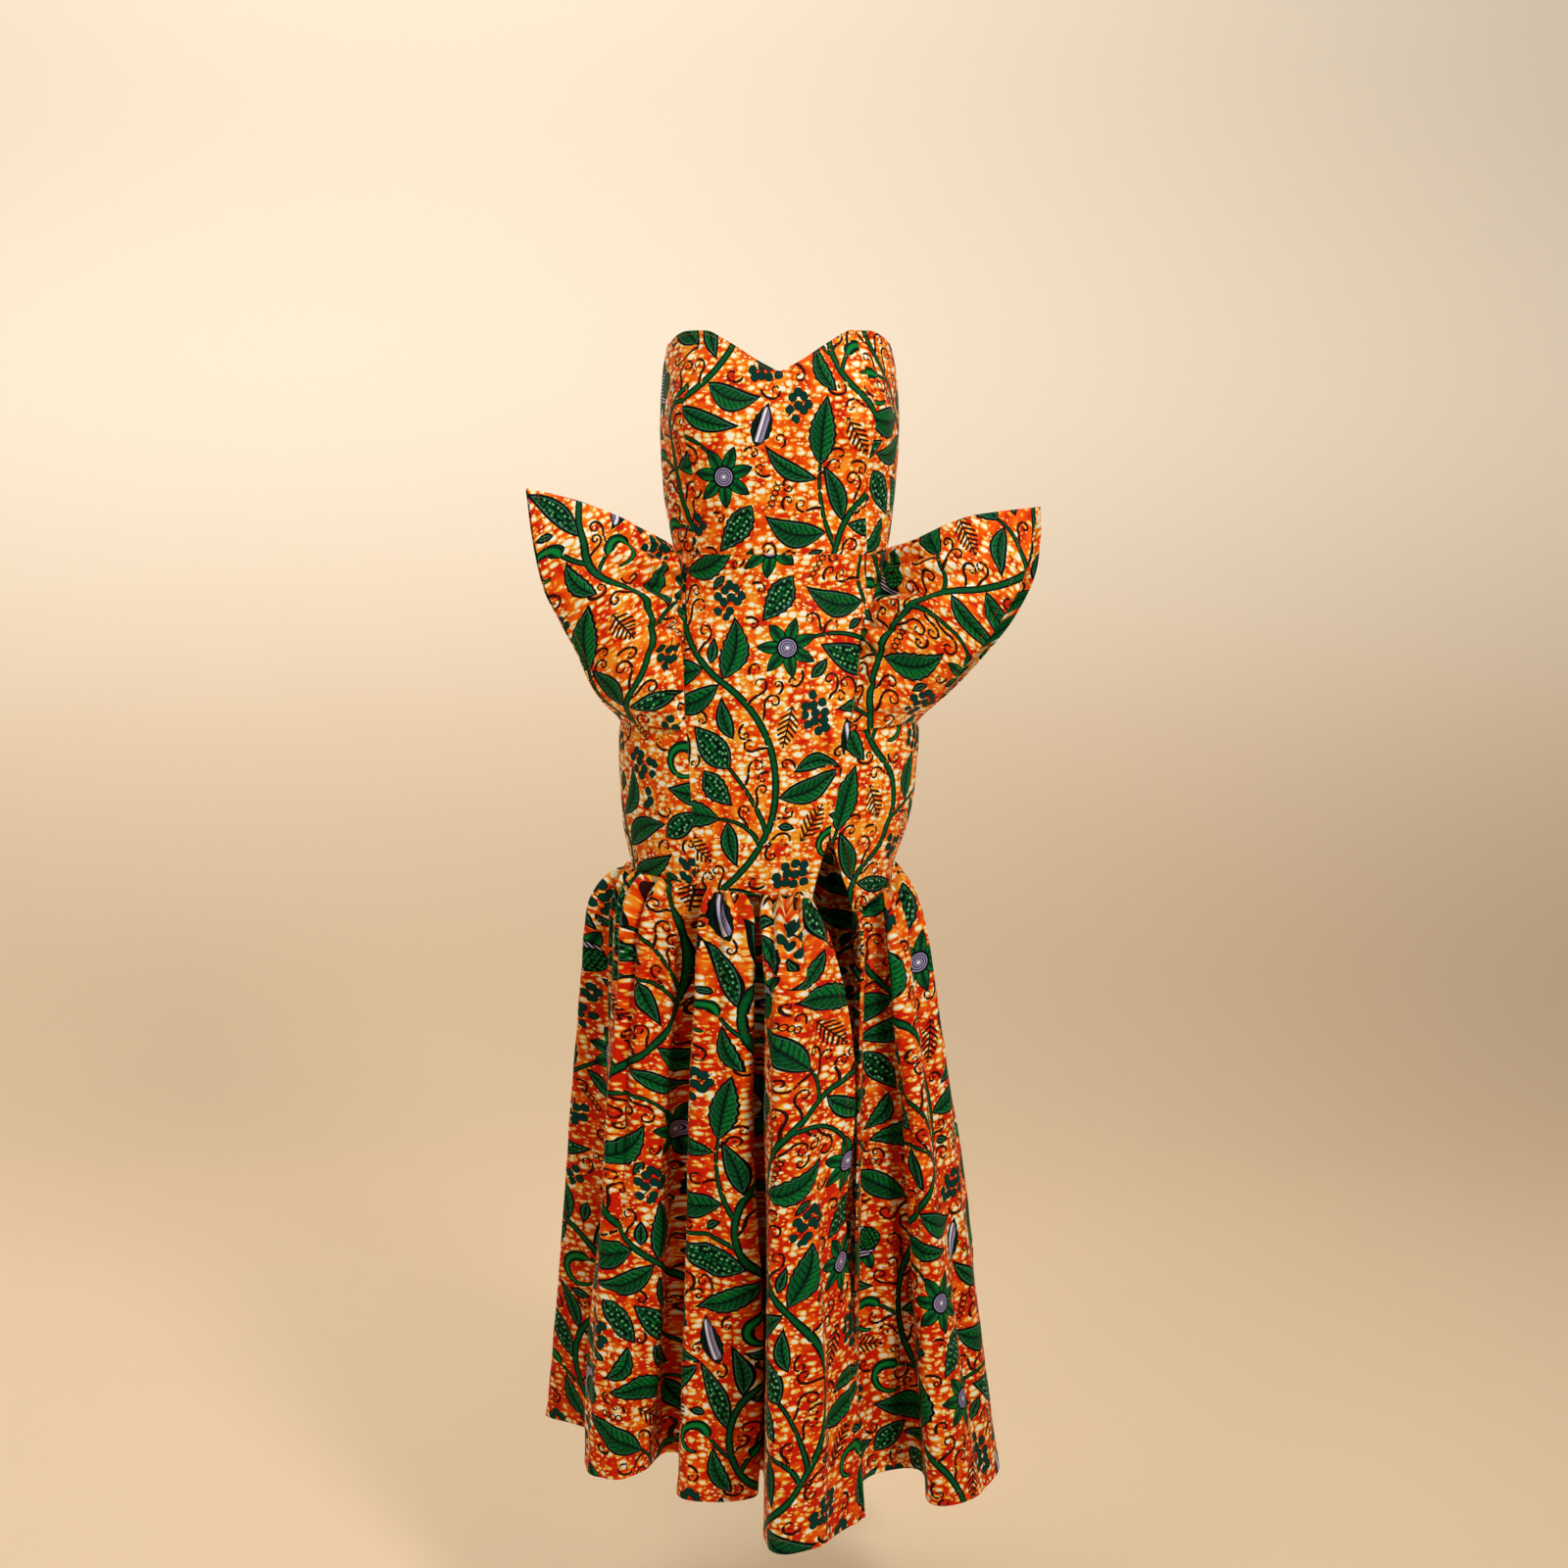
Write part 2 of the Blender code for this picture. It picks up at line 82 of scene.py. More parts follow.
# Columns: level, half width, front depth, back depth, middle across.
BODY_SECTIONS = (
    (0.120, 0.1235, 0.088, 0.078, 0.0050),
    (0.070, 0.1363, 0.093, 0.090, 0.0065),
    (0.000, 0.1403, 0.093, 0.097, 0.0065),
    (-0.068, 0.1367, 0.091, 0.092, 0.0060),
    (-0.114, 0.1307, 0.088, 0.086, 0.0075),
    (-0.167, 0.1223, 0.087, 0.082, 0.0080),
    (-0.230, 0.1402, 0.095, 0.098, 0.0025),
    (-0.300, 0.1660, 0.104, 0.119, -0.0040),
    (-0.359, 0.1794, 0.109, 0.128, -0.0065),
    (-0.415, 0.1768, 0.112, 0.127, -0.0080),
    (-0.466, 0.1709, 0.113, 0.121, -0.0110),
    (-0.520, 0.1577, 0.112, 0.114, -0.0145),
    (-0.570, 0.1560, 0.112, 0.112, -0.0145),
)

# Columns: angle, level of the top edge, for both sides.
TOP_EDGE = (
    (0.0, 0.0620), (10.0, 0.0745), (25.0, 0.0960), (40.0, 0.1100), (56.0, 0.1110),
    (75.0, 0.1030), (92.0, 0.0960), (125.0, 0.0760), (155.0, 0.0630), (180.0, 0.0600),
)

# Columns: angle, level of the low seam.
LOW_SEAM = (
    (-110.0, -0.517), (-90.0, -0.516), (-50.0, -0.520), (-10.0, -0.531), (22.0, -0.537), (42.0, -0.556),
    (58.0, -0.548), (74.0, -0.531), (90.0, -0.5215), (106.0, -0.5175), (135.0, -0.519), (180.0, -0.523),
    (225.0, -0.521), (250.0, -0.517), (270.0, -0.516), (290.0, -0.518),
)

# Columns: level, right princess seam across, left princess seam or slit's inner edge, slit's outer edge.
PRINCESS_SEAMS = (
    (0.120, -0.080, 0.092, 0.092),
    (0.000, -0.086, 0.098, 0.098),
    (-0.137, -0.096, 0.108, 0.108),
    (-0.180, -0.104, 0.108, 0.108),
    (-0.240, -0.104, 0.101, 0.101),
    (-0.300, -0.103, 0.094, 0.094),
    (-0.345, -0.101, 0.087, 0.087),
    (-0.400, -0.098, 0.077, 0.077),
    (-0.4605, -0.094, 0.0661, 0.0661),
    (-0.461, -0.094, 0.066, 0.066),
    (-0.488, -0.092, 0.0575, 0.0725),
    (-0.515, -0.091, 0.0500, 0.0800),
    (-0.540, -0.090, 0.0446, 0.0880),
    (-0.570, -0.090, 0.0446, 0.0920),
)

# The flounce's crests and troughs, round from the slit's outer edge by way of the back.
# Columns: angle on the seam, azimuth at the hem, reach at the hem, puff below the seam, sideways lean.
FLOUNCE_FOLDS = (
    (42.5, 21.5, 0.244, 0.5, 0.000),
    (49.0, 33.0, 0.188, 0.1, 0.000),
    (55.0, 48.0, 0.186, 0.0, 0.000),
    (61.0, 55.0, 0.214, 0.2, 0.000),
    (68.0, 43.0, 0.276, 0.3, 0.000),
    (76.0, 53.0, 0.303, 0.3, 0.000),
    (84.0, 68.0, 0.288, 0.3, 0.000),
    (92.0, 85.0, 0.258, 0.3, 0.000),
    (101.0, 98.0, 0.222, 0.3, 0.000),
    (111.0, 107.0, 0.279, 0.6, 0.000),
    (121.0, 119.0, 0.268, 0.6, 0.000),
    (132.0, 131.0, 0.196, 0.3, 0.000),
    (142.0, 140.0, 0.288, 0.7, 0.000),
    (152.0, 152.0, 0.262, 0.5, 0.000),
    (162.0, 163.0, 0.188, 0.3, 0.000),
    (171.0, 172.0, 0.286, 0.6, 0.000),
    (181.0, 184.0, 0.270, 0.5, 0.000),
    (191.0, 195.0, 0.198, 0.3, 0.000),
    (202.0, 205.0, 0.292, 0.6, 0.000),
    (213.0, 217.0, 0.264, 0.6, 0.000),
    (223.0, 227.0, 0.184, 0.3, 0.000),
    (234.0, 237.0, 0.283, 0.7, 0.000),
    (245.0, 247.0, 0.254, 0.7, 0.000),
    (256.0, 255.0, 0.206, 0.6, 0.000),
    (268.0, 263.0, 0.291, 1.0, 0.000),
    (281.0, 277.0, 0.222, 0.8, 0.000),
    (298.0, 299.0, 0.252, 0.9, 0.000),
    (313.0, 307.0, 0.232, 0.6, 0.000),
    (331.0, 303.0, 0.148, 0.0, 0.000),
    (339.0, 330.0, 0.214, 0.6, 0.000),
    (349.0, 350.0, 0.186, 0.6, 0.000),
    (357.0, 350.0, 0.124, 0.0, 0.000),
    (363.0, 358.0, 0.288, 0.4, 0.000),
    (372.0, 366.0, 0.312, 0.5, 0.004),
    (382.0, 384.0, 0.255, 0.3, 0.022),
)

# Columns: piece, first fold row, last fold row, start of its cloth on the print.
FLOUNCE_PIECES = (
    ("flounce_side_front", 0, 7, (0.11, 0.20)),
    ("flounce_back_left", 7, 16, (0.31, 0.07)),
    ("flounce_back_right", 16, 24, (0.02, 0.33)),
    ("flounce_front", 24, 34, (0.24, 0.02)),
)

# Columns: share of the drop, spread of a plain fold, spread of a puffed fold.
FLOUNCE_PROFILE = (
    (0.000, 0.000, 0.000), (0.008, 0.000, 0.030), (0.020, 0.030, 0.180), (0.045, 0.090, 0.330),
    (0.080, 0.150, 0.430), (0.150, 0.240, 0.485), (0.270, 0.370, 0.560), (0.400, 0.490, 0.645),
    (0.540, 0.610, 0.720), (0.750, 0.790, 0.840), (1.000, 1.000, 1.000),
)

# Columns: share up the open edge, distance across, distance forward, level, gap behind, back leaf's reveal.
WING_EDGES = {
    "wing_right": (
        (0.00, 0.183, 0.032, -0.336, 0.018, 0.000),
        (0.14, 0.211, 0.068, -0.298, 0.020, 0.001),
        (0.27, 0.222, 0.088, -0.264, 0.020, 0.002),
        (0.43, 0.242, 0.102, -0.219, 0.018, 0.003),
        (0.57, 0.259, 0.109, -0.182, 0.016, 0.003),
        (0.79, 0.272, 0.107, -0.125, 0.011, 0.002),
        (1.00, 0.280, 0.100, -0.069, 0.000, 0.000),
    ),
    "wing_left": (
        (0.00, 0.172, 0.032, -0.336, 0.018, 0.000),
        (0.14, 0.199, 0.068, -0.301, 0.021, 0.008),
        (0.30, 0.229, 0.092, -0.260, 0.022, 0.013),
        (0.48, 0.260, 0.104, -0.217, 0.020, 0.014),
        (0.70, 0.287, 0.109, -0.161, 0.016, 0.012),
        (0.85, 0.294, 0.106, -0.125, 0.011, 0.009),
        (1.00, 0.302, 0.100, -0.090, 0.000, 0.000),
    ),
}

# Columns: share out along the top fold, distance across, distance forward, level.
WING_TOPS = {
    "wing_right": (
        (0.00, 0.1160, 0.024, -0.135), (0.25, 0.1570, 0.060, -0.112), (0.48, 0.1950, 0.084, -0.093),
        (0.72, 0.2330, 0.096, -0.080), (1.00, 0.2800, 0.100, -0.069),
    ),
    "wing_left": (
        (0.00, 0.1330, 0.024, -0.137), (0.22, 0.1640, 0.054, -0.126), (0.42, 0.1940, 0.077, -0.111),
        (0.68, 0.2370, 0.093, -0.097), (1.00, 0.3020, 0.100, -0.090),
    ),
}

# Columns: side across, angle of the top of the root, angle of the back root, angle of its outer end,
# clearance from the body's wall to the sewn edge.
WING_ROOTS = {
    "wing_right": (-1.0, 72.0, 99.0, 86.0, 0.0017),
    "wing_left": (1.0, 74.0, 99.0, 86.0, 0.0011),
}

# Creases of the fitted body. Columns: angle, level, half length, half width, slant in degrees, rise.
BODY_CREASES = (
    (20.3, -0.372, 0.036, 0.0080, 98.0, -0.0050),
    (25.6, -0.368, 0.034, 0.0060, 97.0, 0.0030),
    (15.0, -0.405, 0.030, 0.0100, 80.0, 0.0016),
    (-29.0, -0.385, 0.055, 0.0085, 87.0, -0.0024),
    (-25.5, -0.330, 0.045, 0.0070, 82.0, 0.0014),
    (-27.0, -0.215, 0.038, 0.0060, 118.0, -0.0018),
    (-22.0, -0.190, 0.034, 0.0060, 146.0, -0.0014),
    (31.0, -0.205, 0.036, 0.0060, 62.0, -0.0018),
    (26.0, -0.182, 0.030, 0.0060, 33.0, -0.0013),
    (-5.0, -0.166, 0.045, 0.0050, 4.0, -0.0011),
    (8.0, -0.128, 0.030, 0.0045, -5.0, -0.0009),
    (-34.0, -0.038, 0.030, 0.0080, 14.0, -0.0014),
    (36.0, -0.044, 0.028, 0.0080, -16.0, -0.0015),
    (-48.0, -0.092, 0.026, 0.0050, 12.0, -0.0016),
    (-62.0, -0.112, 0.030, 0.0050, 8.0, -0.0019),
    (-75.0, -0.080, 0.024, 0.0050, 15.0, -0.0014),
    (52.0, -0.100, 0.028, 0.0050, -11.0, -0.0018),
    (66.0, -0.120, 0.030, 0.0050, -7.0, -0.0018),
    (79.0, -0.086, 0.022, 0.0045, -14.0, -0.0014),
    (-12.0, -0.430, 0.050, 0.0100, 8.0, 0.0012),
    (2.0, -0.468, 0.060, 0.0090, -5.0, -0.0011),
    (-20.0, -0.492, 0.034, 0.0080, 28.0, -0.0010),
    (52.0, -0.452, 0.034, 0.0080, -38.0, -0.0016),
    (64.0, -0.488, 0.028, 0.0070, -52.0, 0.0015),
    (-58.0, -0.455, 0.040, 0.0080, 40.0, -0.0015),
    (-72.0, -0.420, 0.034, 0.0080, 52.0, -0.0012),
    (118.0, -0.140, 0.030, 0.0055, -9.0, -0.0018),
    (138.0, -0.166, 0.038, 0.0065, -13.0, -0.0024),
    (166.0, -0.182, 0.048, 0.0070, 7.0, -0.0030),
    (193.0, -0.197, 0.046, 0.0070, -8.0, -0.0031),
    (180.0, -0.222, 0.056, 0.0080, 3.0, -0.0022),
    (222.0, -0.163, 0.040, 0.0065, 12.0, -0.0024),
    (243.0, -0.138, 0.028, 0.0055, 9.0, -0.0016),
    (150.0, -0.252, 0.040, 0.0080, 34.0, -0.0016),
    (211.0, -0.257, 0.042, 0.0080, -36.0, -0.0017),
    (153.0, -0.424, 0.040, 0.0100, -42.0, -0.0018),
    (206.0, -0.432, 0.044, 0.0100, 38.0, -0.0019),
    (120.0, -0.446, 0.038, 0.0090, -55.0, -0.0014),
    (238.0, -0.450, 0.036, 0.0090, 57.0, -0.0014),
    (148.0, 0.006, 0.030, 0.0070, 62.0, -0.0011),
    (209.0, -0.012, 0.032, 0.0070, -58.0, -0.0012),
)

# Pleats that fan out from a wing's sewn edge: broad ridges with a sharp underside, and the grooves below them.
# Columns: start out and turn, end out and turn, half width, rise.
WING_RIDGES = {
    "wing_right": (
        (0.00, 0.95, 0.80, 0.93, 0.0070, 0.0070),
        (0.00, 0.91, 0.62, 0.880, 0.0046, -0.0085),
        (0.00, 0.84, 0.64, 0.780, 0.0105, 0.0150),
        (0.00, 0.745, 0.50, 0.700, 0.0062, -0.0175),
        (0.00, 0.66, 0.80, 0.540, 0.0105, 0.0120),
        (0.00, 0.57, 0.54, 0.440, 0.0052, -0.0125),
        (0.00, 0.48, 0.70, 0.290, 0.0100, 0.0095),
        (0.00, 0.38, 0.46, 0.240, 0.0050, -0.0095),
        (0.00, 0.20, 0.55, 0.150, 0.0055, -0.0110),
        (0.02, 0.11, 0.80, 0.090, 0.0115, 0.0085),
        (0.50, 0.88, 1.00, 0.660, 0.0110, 0.0055),
        (0.40, 0.50, 1.00, 0.420, 0.0130, 0.0050),
        (0.00, 1.10, 0.85, 1.160, 0.0080, 0.0070),
        (0.00, 1.16, 0.60, 1.240, 0.0044, -0.0070),
        (0.00, 1.25, 0.75, 1.440, 0.0090, 0.0070),
        (0.00, 1.33, 0.50, 1.580, 0.0044, -0.0060),
        (0.00, 1.42, 0.60, 1.760, 0.0100, 0.0050),
    ),
    "wing_left": (
        (0.00, 0.95, 0.82, 0.920, 0.0070, 0.0070),
        (0.00, 0.91, 0.64, 0.850, 0.0046, -0.0085),
        (0.00, 0.85, 0.92, 0.720, 0.0095, 0.0120),
        (0.00, 0.77, 0.52, 0.660, 0.0056, -0.0135),
        (0.00, 0.69, 0.90, 0.500, 0.0105, 0.0105),
        (0.00, 0.60, 0.48, 0.440, 0.0050, -0.0105),
        (0.00, 0.52, 0.70, 0.270, 0.0100, 0.0085),
        (0.00, 0.28, 0.52, 0.160, 0.0052, -0.0085),
        (0.06, 0.12, 0.90, 0.100, 0.0090, 0.0065),
        (0.45, 0.34, 1.00, 0.640, 0.0120, 0.0055),
        (0.00, 1.12, 0.80, 1.200, 0.0080, 0.0070),
        (0.00, 1.19, 0.56, 1.300, 0.0044, -0.0070),
        (0.00, 1.28, 0.72, 1.520, 0.0090, 0.0068),
        (0.00, 1.37, 0.46, 1.640, 0.0044, -0.0058),
        (0.00, 1.46, 0.55, 1.800, 0.0100, 0.0048),
    ),
}

# Troughs that the gathering pulls in below the low seam.
# Columns: place among the fold rows, share of the drop, depth, half width at the seam, sideways drift.
GATHERS = (
    (0.50, 0.30, 0.0042, 0.0034, 0.004), (1.15, 0.17, 0.0052, 0.0040, -0.003), (1.75, 1.00, 0.0085, 0.0110, 0.002),
    (2.60, 0.22, 0.0048, 0.0036, 0.003), (3.40, 0.50, 0.0060, 0.0042, -0.004), (4.30, 0.19, 0.0046, 0.0038, 0.002),
    (5.10, 0.90, 0.0075, 0.0060, -0.002), (6.20, 0.25, 0.0050, 0.0036, 0.003),
    (7.20, 0.34, 0.0052, 0.0040, 0.003), (8.10, 0.48, 0.0060, 0.0046, -0.003), (8.80, 0.18, 0.0044, 0.0034, 0.002),
    (9.70, 0.28, 0.0052, 0.0040, 0.004), (10.60, 0.20, 0.0046, 0.0036, -0.002), (11.20, 0.52, 0.0064, 0.0046, 0.002),
    (12.30, 0.24, 0.0050, 0.0038, -0.004), (13.20, 0.16, 0.0044, 0.0034, 0.003), (14.00, 0.46, 0.0062, 0.0046, 0.002),
    (14.90, 0.27, 0.0050, 0.0040, -0.003), (15.60, 0.19, 0.0044, 0.0036, 0.002),
    (16.40, 0.32, 0.0052, 0.0040, -0.003), (17.10, 0.50, 0.0062, 0.0046, 0.002), (18.00, 0.18, 0.0046, 0.0034, 0.003),
    (18.80, 0.26, 0.0052, 0.0040, -0.002), (19.60, 0.38, 0.0056, 0.0042, 0.004), (20.20, 0.52, 0.0062, 0.0046, -0.002),
    (21.30, 0.21, 0.0048, 0.0036, 0.003), (22.20, 0.30, 0.0052, 0.0040, -0.003), (23.10, 0.44, 0.0060, 0.0044, 0.002),
    (23.70, 0.17, 0.0044, 0.0034, 0.002),
    (24.60, 0.80, 0.0070, 0.0056, 0.003), (25.30, 0.40, 0.0056, 0.0042, -0.002), (26.00, 0.22, 0.0050, 0.0036, 0.004),
    (26.60, 0.85, 0.0075, 0.0056, -0.003), (27.15, 0.15, 0.0042, 0.0032, 0.002), (27.70, 0.34, 0.0058, 0.0042, -0.002),
    (28.20, 1.00, 0.0140, 0.0105, -0.004), (28.80, 0.19, 0.0048, 0.0034, 0.003), (29.40, 0.70, 0.0070, 0.0050, 0.002),
    (29.95, 0.16, 0.0044, 0.0032, -0.002), (30.50, 0.36, 0.0056, 0.0042, 0.003), (31.00, 1.00, 0.0120, 0.0090, 0.002),
    (31.60, 0.22, 0.0050, 0.0036, 0.003), (32.20, 0.55, 0.0066, 0.0048, -0.003), (32.80, 0.17, 0.0044, 0.0034, 0.002),
    (33.35, 0.26, 0.0050, 0.0038, 0.003),
)

# Soft folds lower down, between the gathers and the hem.
# Columns: place among the fold rows, start and end of its drop, half width, rise, sideways drift.
LOW_FOLDS = (
    (0.90, 0.30, 0.95, 0.012, -0.005, 0.010), (2.30, 0.40, 1.00, 0.014, 0.006, -0.008),
    (3.80, 0.22, 0.80, 0.012, -0.006, 0.012), (5.40, 0.45, 1.10, 0.016, -0.006, -0.010),
    (6.50, 0.25, 0.85, 0.013, 0.005, 0.008), (8.00, 0.35, 1.05, 0.015, -0.006, 0.010),
    (9.40, 0.20, 0.78, 0.012, 0.005, -0.012), (10.50, 0.50, 1.15, 0.016, -0.007, 0.008),
    (12.00, 0.30, 0.90, 0.014, 0.006, 0.010), (13.50, 0.42, 1.10, 0.015, -0.006, -0.010),
    (15.00, 0.24, 0.84, 0.013, 0.005, 0.012), (16.60, 0.38, 1.05, 0.015, -0.006, -0.008),
    (18.10, 0.26, 0.88, 0.013, 0.006, 0.010), (19.50, 0.46, 1.12, 0.016, -0.007, 0.012),
    (21.00, 0.30, 0.92, 0.014, 0.006, -0.010), (22.60, 0.40, 1.08, 0.015, -0.006, 0.009),
    (24.80, 0.34, 0.98, 0.014, -0.006, -0.010), (25.60, 0.52, 1.15, 0.013, 0.006, 0.008),
    (26.80, 0.26, 0.84, 0.012, -0.006, 0.010), (27.50, 0.48, 1.10, 0.014, 0.005, -0.008),
    (29.20, 0.30, 1.02, 0.014, -0.008, 0.012), (30.20, 0.42, 1.12, 0.013, 0.006, -0.006),
    (32.50, 0.28, 0.90, 0.016, -0.006, 0.014), (33.30, 0.40, 1.10, 0.014, 0.006, -0.010),
)


class Curve:
    """A smooth curve through a table's rows that never overshoots them, read for whole arrays at once."""

    def __init__(self, rows, column):
        rows = sorted(rows)
        self.keys = np.array([row[0] for row in rows])
        self.values = np.array([row[column] for row in rows])
        self.steps = np.diff(self.keys)
        rises = np.diff(self.values) / self.steps
        before, after = rises[:-1], rises[1:]
        same_way = before * after > 0.0
        means = np.where(same_way, 2.0 * before * after / np.where(same_way, before + after, 1.0), 0.0)
        self.slopes = np.concatenate((rises[:1], means, rises[-1:]))

    def __call__(self, key):
        key = np.clip(key, self.keys[0], self.keys[-1])
        i = np.clip(np.searchsorted(self.keys, key) - 1, 0, len(self.steps) - 1)
        step = self.steps[i]
        t = (key - self.keys[i]) / step
        start = (1.0 + 2.0 * t) * (1.0 - t) ** 2 * self.values[i] + t * (1.0 - t) ** 2 * step * self.slopes[i]
        end = (t * t * (3.0 - 2.0 * t) * self.values[i + 1]
               - t * t * (1.0 - t) * step * self.slopes[i + 1])
        return start + end


HALF_WIDTH, FRONT_DEPTH, BACK_DEPTH, MIDDLE = (Curve(BODY_SECTIONS, column) for column in range(1, 5))
TOP_LEVEL = Curve(TOP_EDGE, 1)
LOW_LEVEL = Curve(LOW_SEAM, 1)
SEAMS_ACROSS = [None] + [Curve(PRINCESS_SEAMS, column) for column in range(1, 4)]
FOLD_PLACES = [(float(place),) + row for place, row in enumerate(FLOUNCE_FOLDS)]
FOLD_ANGLE, FOLD_PUFF, FOLD_LEAN = (Curve(FOLD_PLACES, column) for column in (1, 4, 5))
PLAIN_SPREAD, PUFFED_SPREAD = (Curve(FLOUNCE_PROFILE, column) for column in (1, 2))


def mix(a, b, share):
    return a + (b - a) * share


def smooth_step(value):
    """From 0 to 1 with a soft start and end, as the value goes from 0 to 1."""
    value = np.clip(value, 0.0, 1.0)
    return value * value * (3.0 - 2.0 * value)


def lengths(vectors):
    return np.sqrt((vectors ** 2).sum(-1))


def unit(vectors):
    return vectors / np.maximum(lengths(vectors), 1e-12)[..., None]


def front_angle(angle):
    """The same direction as an angle between -180 and 180."""
    return (angle + 180.0) % 360.0 - 180.0


def body_point(angle, level):
    """The body's surface at an angle from the front, in degrees, and at a level."""
    angle, level = np.broadcast_arrays(angle, level)
    turn = np.radians(angle)
    depth = np.where(np.cos(turn) > 0.0, FRONT_DEPTH(level), BACK_DEPTH(level))
    from_apex = (np.abs(front_angle(angle)) - CUP_ANGLE) / CUP_SPREAD
    cup = CUP_HEIGHT * np.exp(-from_apex ** 2 - ((level - CUP_LEVEL) / CUP_FALL) ** 2)
    x = MIDDLE(level) + (HALF_WIDTH(level) + cup) * np.sin(turn)
    return np.stack((x, -(depth + cup) * np.cos(turn), level), -1)


def seam_angle(column, level):
    """The angle at which a princess seam or a slit edge crosses a level."""
    return np.degrees(np.arcsin((SEAMS_ACROSS[column](level) - MIDDLE(level)) / HALF_WIDTH(level)))


def low_seam_level(angle):
    """The level of the low seam at an angle."""
    return LOW_LEVEL((angle + 90.0) % 360.0 - 90.0)


def top_edge_level(angle):
    """The level of the top edge at an angle, the same on both sides."""
    return TOP_LEVEL(np.abs(front_angle(angle)))


def hem_point(place):
    """The hem's curve through its fold rows, one unit of place for each row."""
    azimuths = np.radians([row[1] for row in FLOUNCE_FOLDS])
    reaches = np.array([row[2] for row in FLOUNCE_FOLDS])
    points = np.stack((reaches * np.sin(azimuths), -reaches * np.cos(azimuths),
                       np.full(len(reaches), HEM_LEVEL)), -1)
    last = len(points) - 1
    i = np.clip(place.astype(int), 0, last - 1)
    t = (place - i)[..., None]
    start, end = points[i], points[i + 1]
    leave = (end - points[np.maximum(i - 1, 0)]) * 0.5
    arrive = (points[np.minimum(i + 2, last)] - start) * 0.5
    bend = 2.0 * t ** 3 - 3.0 * t ** 2
    return (start * (1.0 + bend) - end * bend
            + leave * (t ** 3 - 2.0 * t ** 2 + t) + arrive * (t ** 3 - t ** 2))


def flounce_point(place, drop):
    """A point of the flounce: place counts the fold rows, drop runs from the seam to the hem."""
    angle = FOLD_ANGLE(place)
    top = body_point(angle, low_seam_level(angle))
    spread = mix(PLAIN_SPREAD(drop), PUFFED_SPREAD(drop), FOLD_PUFF(place))
    point = mix(top, hem_point(place), spread[..., None])
    point[..., 0] += FOLD_LEAN(place) * np.sin(math.pi * np.minimum(drop / 0.5, 1.0))
    point[..., 2] = mix(top[..., 2], HEM_LEVEL, drop)
    return point


def body_root(angle, level, clearance):
    """A point just outside the body, where a wing's edge is sewn on."""
    angle, level = np.broadcast_arrays(angle, level)
    across = body_point(angle + 0.5, level) - body_point(angle - 0.5, level)
    up = body_point(angle, level + 0.002) - body_point(angle, level - 0.002)
    return body_point(angle, level) + unit(np.cross(across, up)) * (SOLID_WALL / 2.0 + clearance)


def wing_leaf(name, out, rise, in_front):
    """Points of one leaf of a wing: out runs from root to open edge, rise from base to top fold."""
    side, top_angle, back_angle, back_end_angle, clearance = WING_ROOTS[name]
    column = 1 if side < 0.0 else 2
    edge_rows = WING_EDGES[name]

    def table_point(rows, share, behind=0.0, reveal=0.0):
        across, forward, level = (Curve(rows, c)(share) for c in (1, 2, 3))
        return np.stack(np.broadcast_arrays(side * (across + reveal), behind - forward, level), -1)

    def root(share):
        level = mix(WING_BASE_LEVEL, WING_TOP_LEVEL, share)
        if in_front:
            angle = mix(np.abs(seam_angle(column, level)), top_angle, smooth_step((share - 0.6) / 0.4))
        else:
            angle = mix(back_angle, top_angle, smooth_step(share))
        start = body_root(side * angle, level, clearance)
        lift = table_point(WING_TOPS[name], 0.0) - body_root(side * top_angle, WING_TOP_LEVEL, clearance)
        return start + lift * (np.asarray(share) ** 3)[..., None]

    def open_edge(share):
        if in_front:
            return table_point(edge_rows, share)
        return table_point(edge_rows, share, Curve(edge_rows, 4)(share), Curve(edge_rows, 5)(share))

    def base(share):
        start, end = back_angle, back_end_angle
        if in_front:
            start, end = np.abs(seam_angle(column, WING_BASE_LEVEL)), WING_BASE_END_ANGLE
        lift = open_edge(0.0) - body_root(side * end, edge_rows[0][3], clearance)
        level = mix(WING_BASE_LEVEL, edge_rows[0][3], share)
        return body_root(side * mix(start, end, share), level, clearance) + lift * (share ** 2)[..., None]

    u, v = out[..., None], rise[..., None]
    point = root(rise) * (1.0 - u) + open_edge(rise) * u
    point += base(out) * (1.0 - v) + table_point(WING_TOPS[name], out) * v
    point -= (root(0.0) * (1.0 - u) * (1.0 - v) + open_edge(0.0) * u * (1.0 - v)
              + root(1.0) * (1.0 - u) * v + open_edge(1.0) * u * v)
    from_fold = np.minimum((1.0 - rise) * WING_LEAF_HEIGHT / WING_FOLD_RADIUS, 1.0)
    push = WING_FOLD_RADIUS * np.sqrt(1.0 - (1.0 - from_fold) ** 2) * smooth_step(out / WING_FOLD_START)
    belly = np.sin(math.pi * out) * np.sin(math.pi * rise)
    if in_front:
        pleat = WING_PLEAT_DEPTH * np.sin(math.pi * out ** 0.6) * np.sin(math.pi * rise)
        push += WING_BULGE * belly + pleat * np.sin(2.0 * math.pi * WING_PLEATS * rise ** 1.4)
    else:
        push += WING_BACK_BULGE_SHARE * WING_BULGE * belly
    facing = -1.0 if in_front else 1.0
    return point + facing * push[..., None] * np.array((WING_PUSH[0] * side, WING_PUSH[1], 0.0))


def grid_normals(points, facing):
    """Unit normals of a grid of points, by its neighbours along columns and rows."""
    return facing * unit(np.cross(np.gradient(points, axis=0), np.gradient(points, axis=1)))


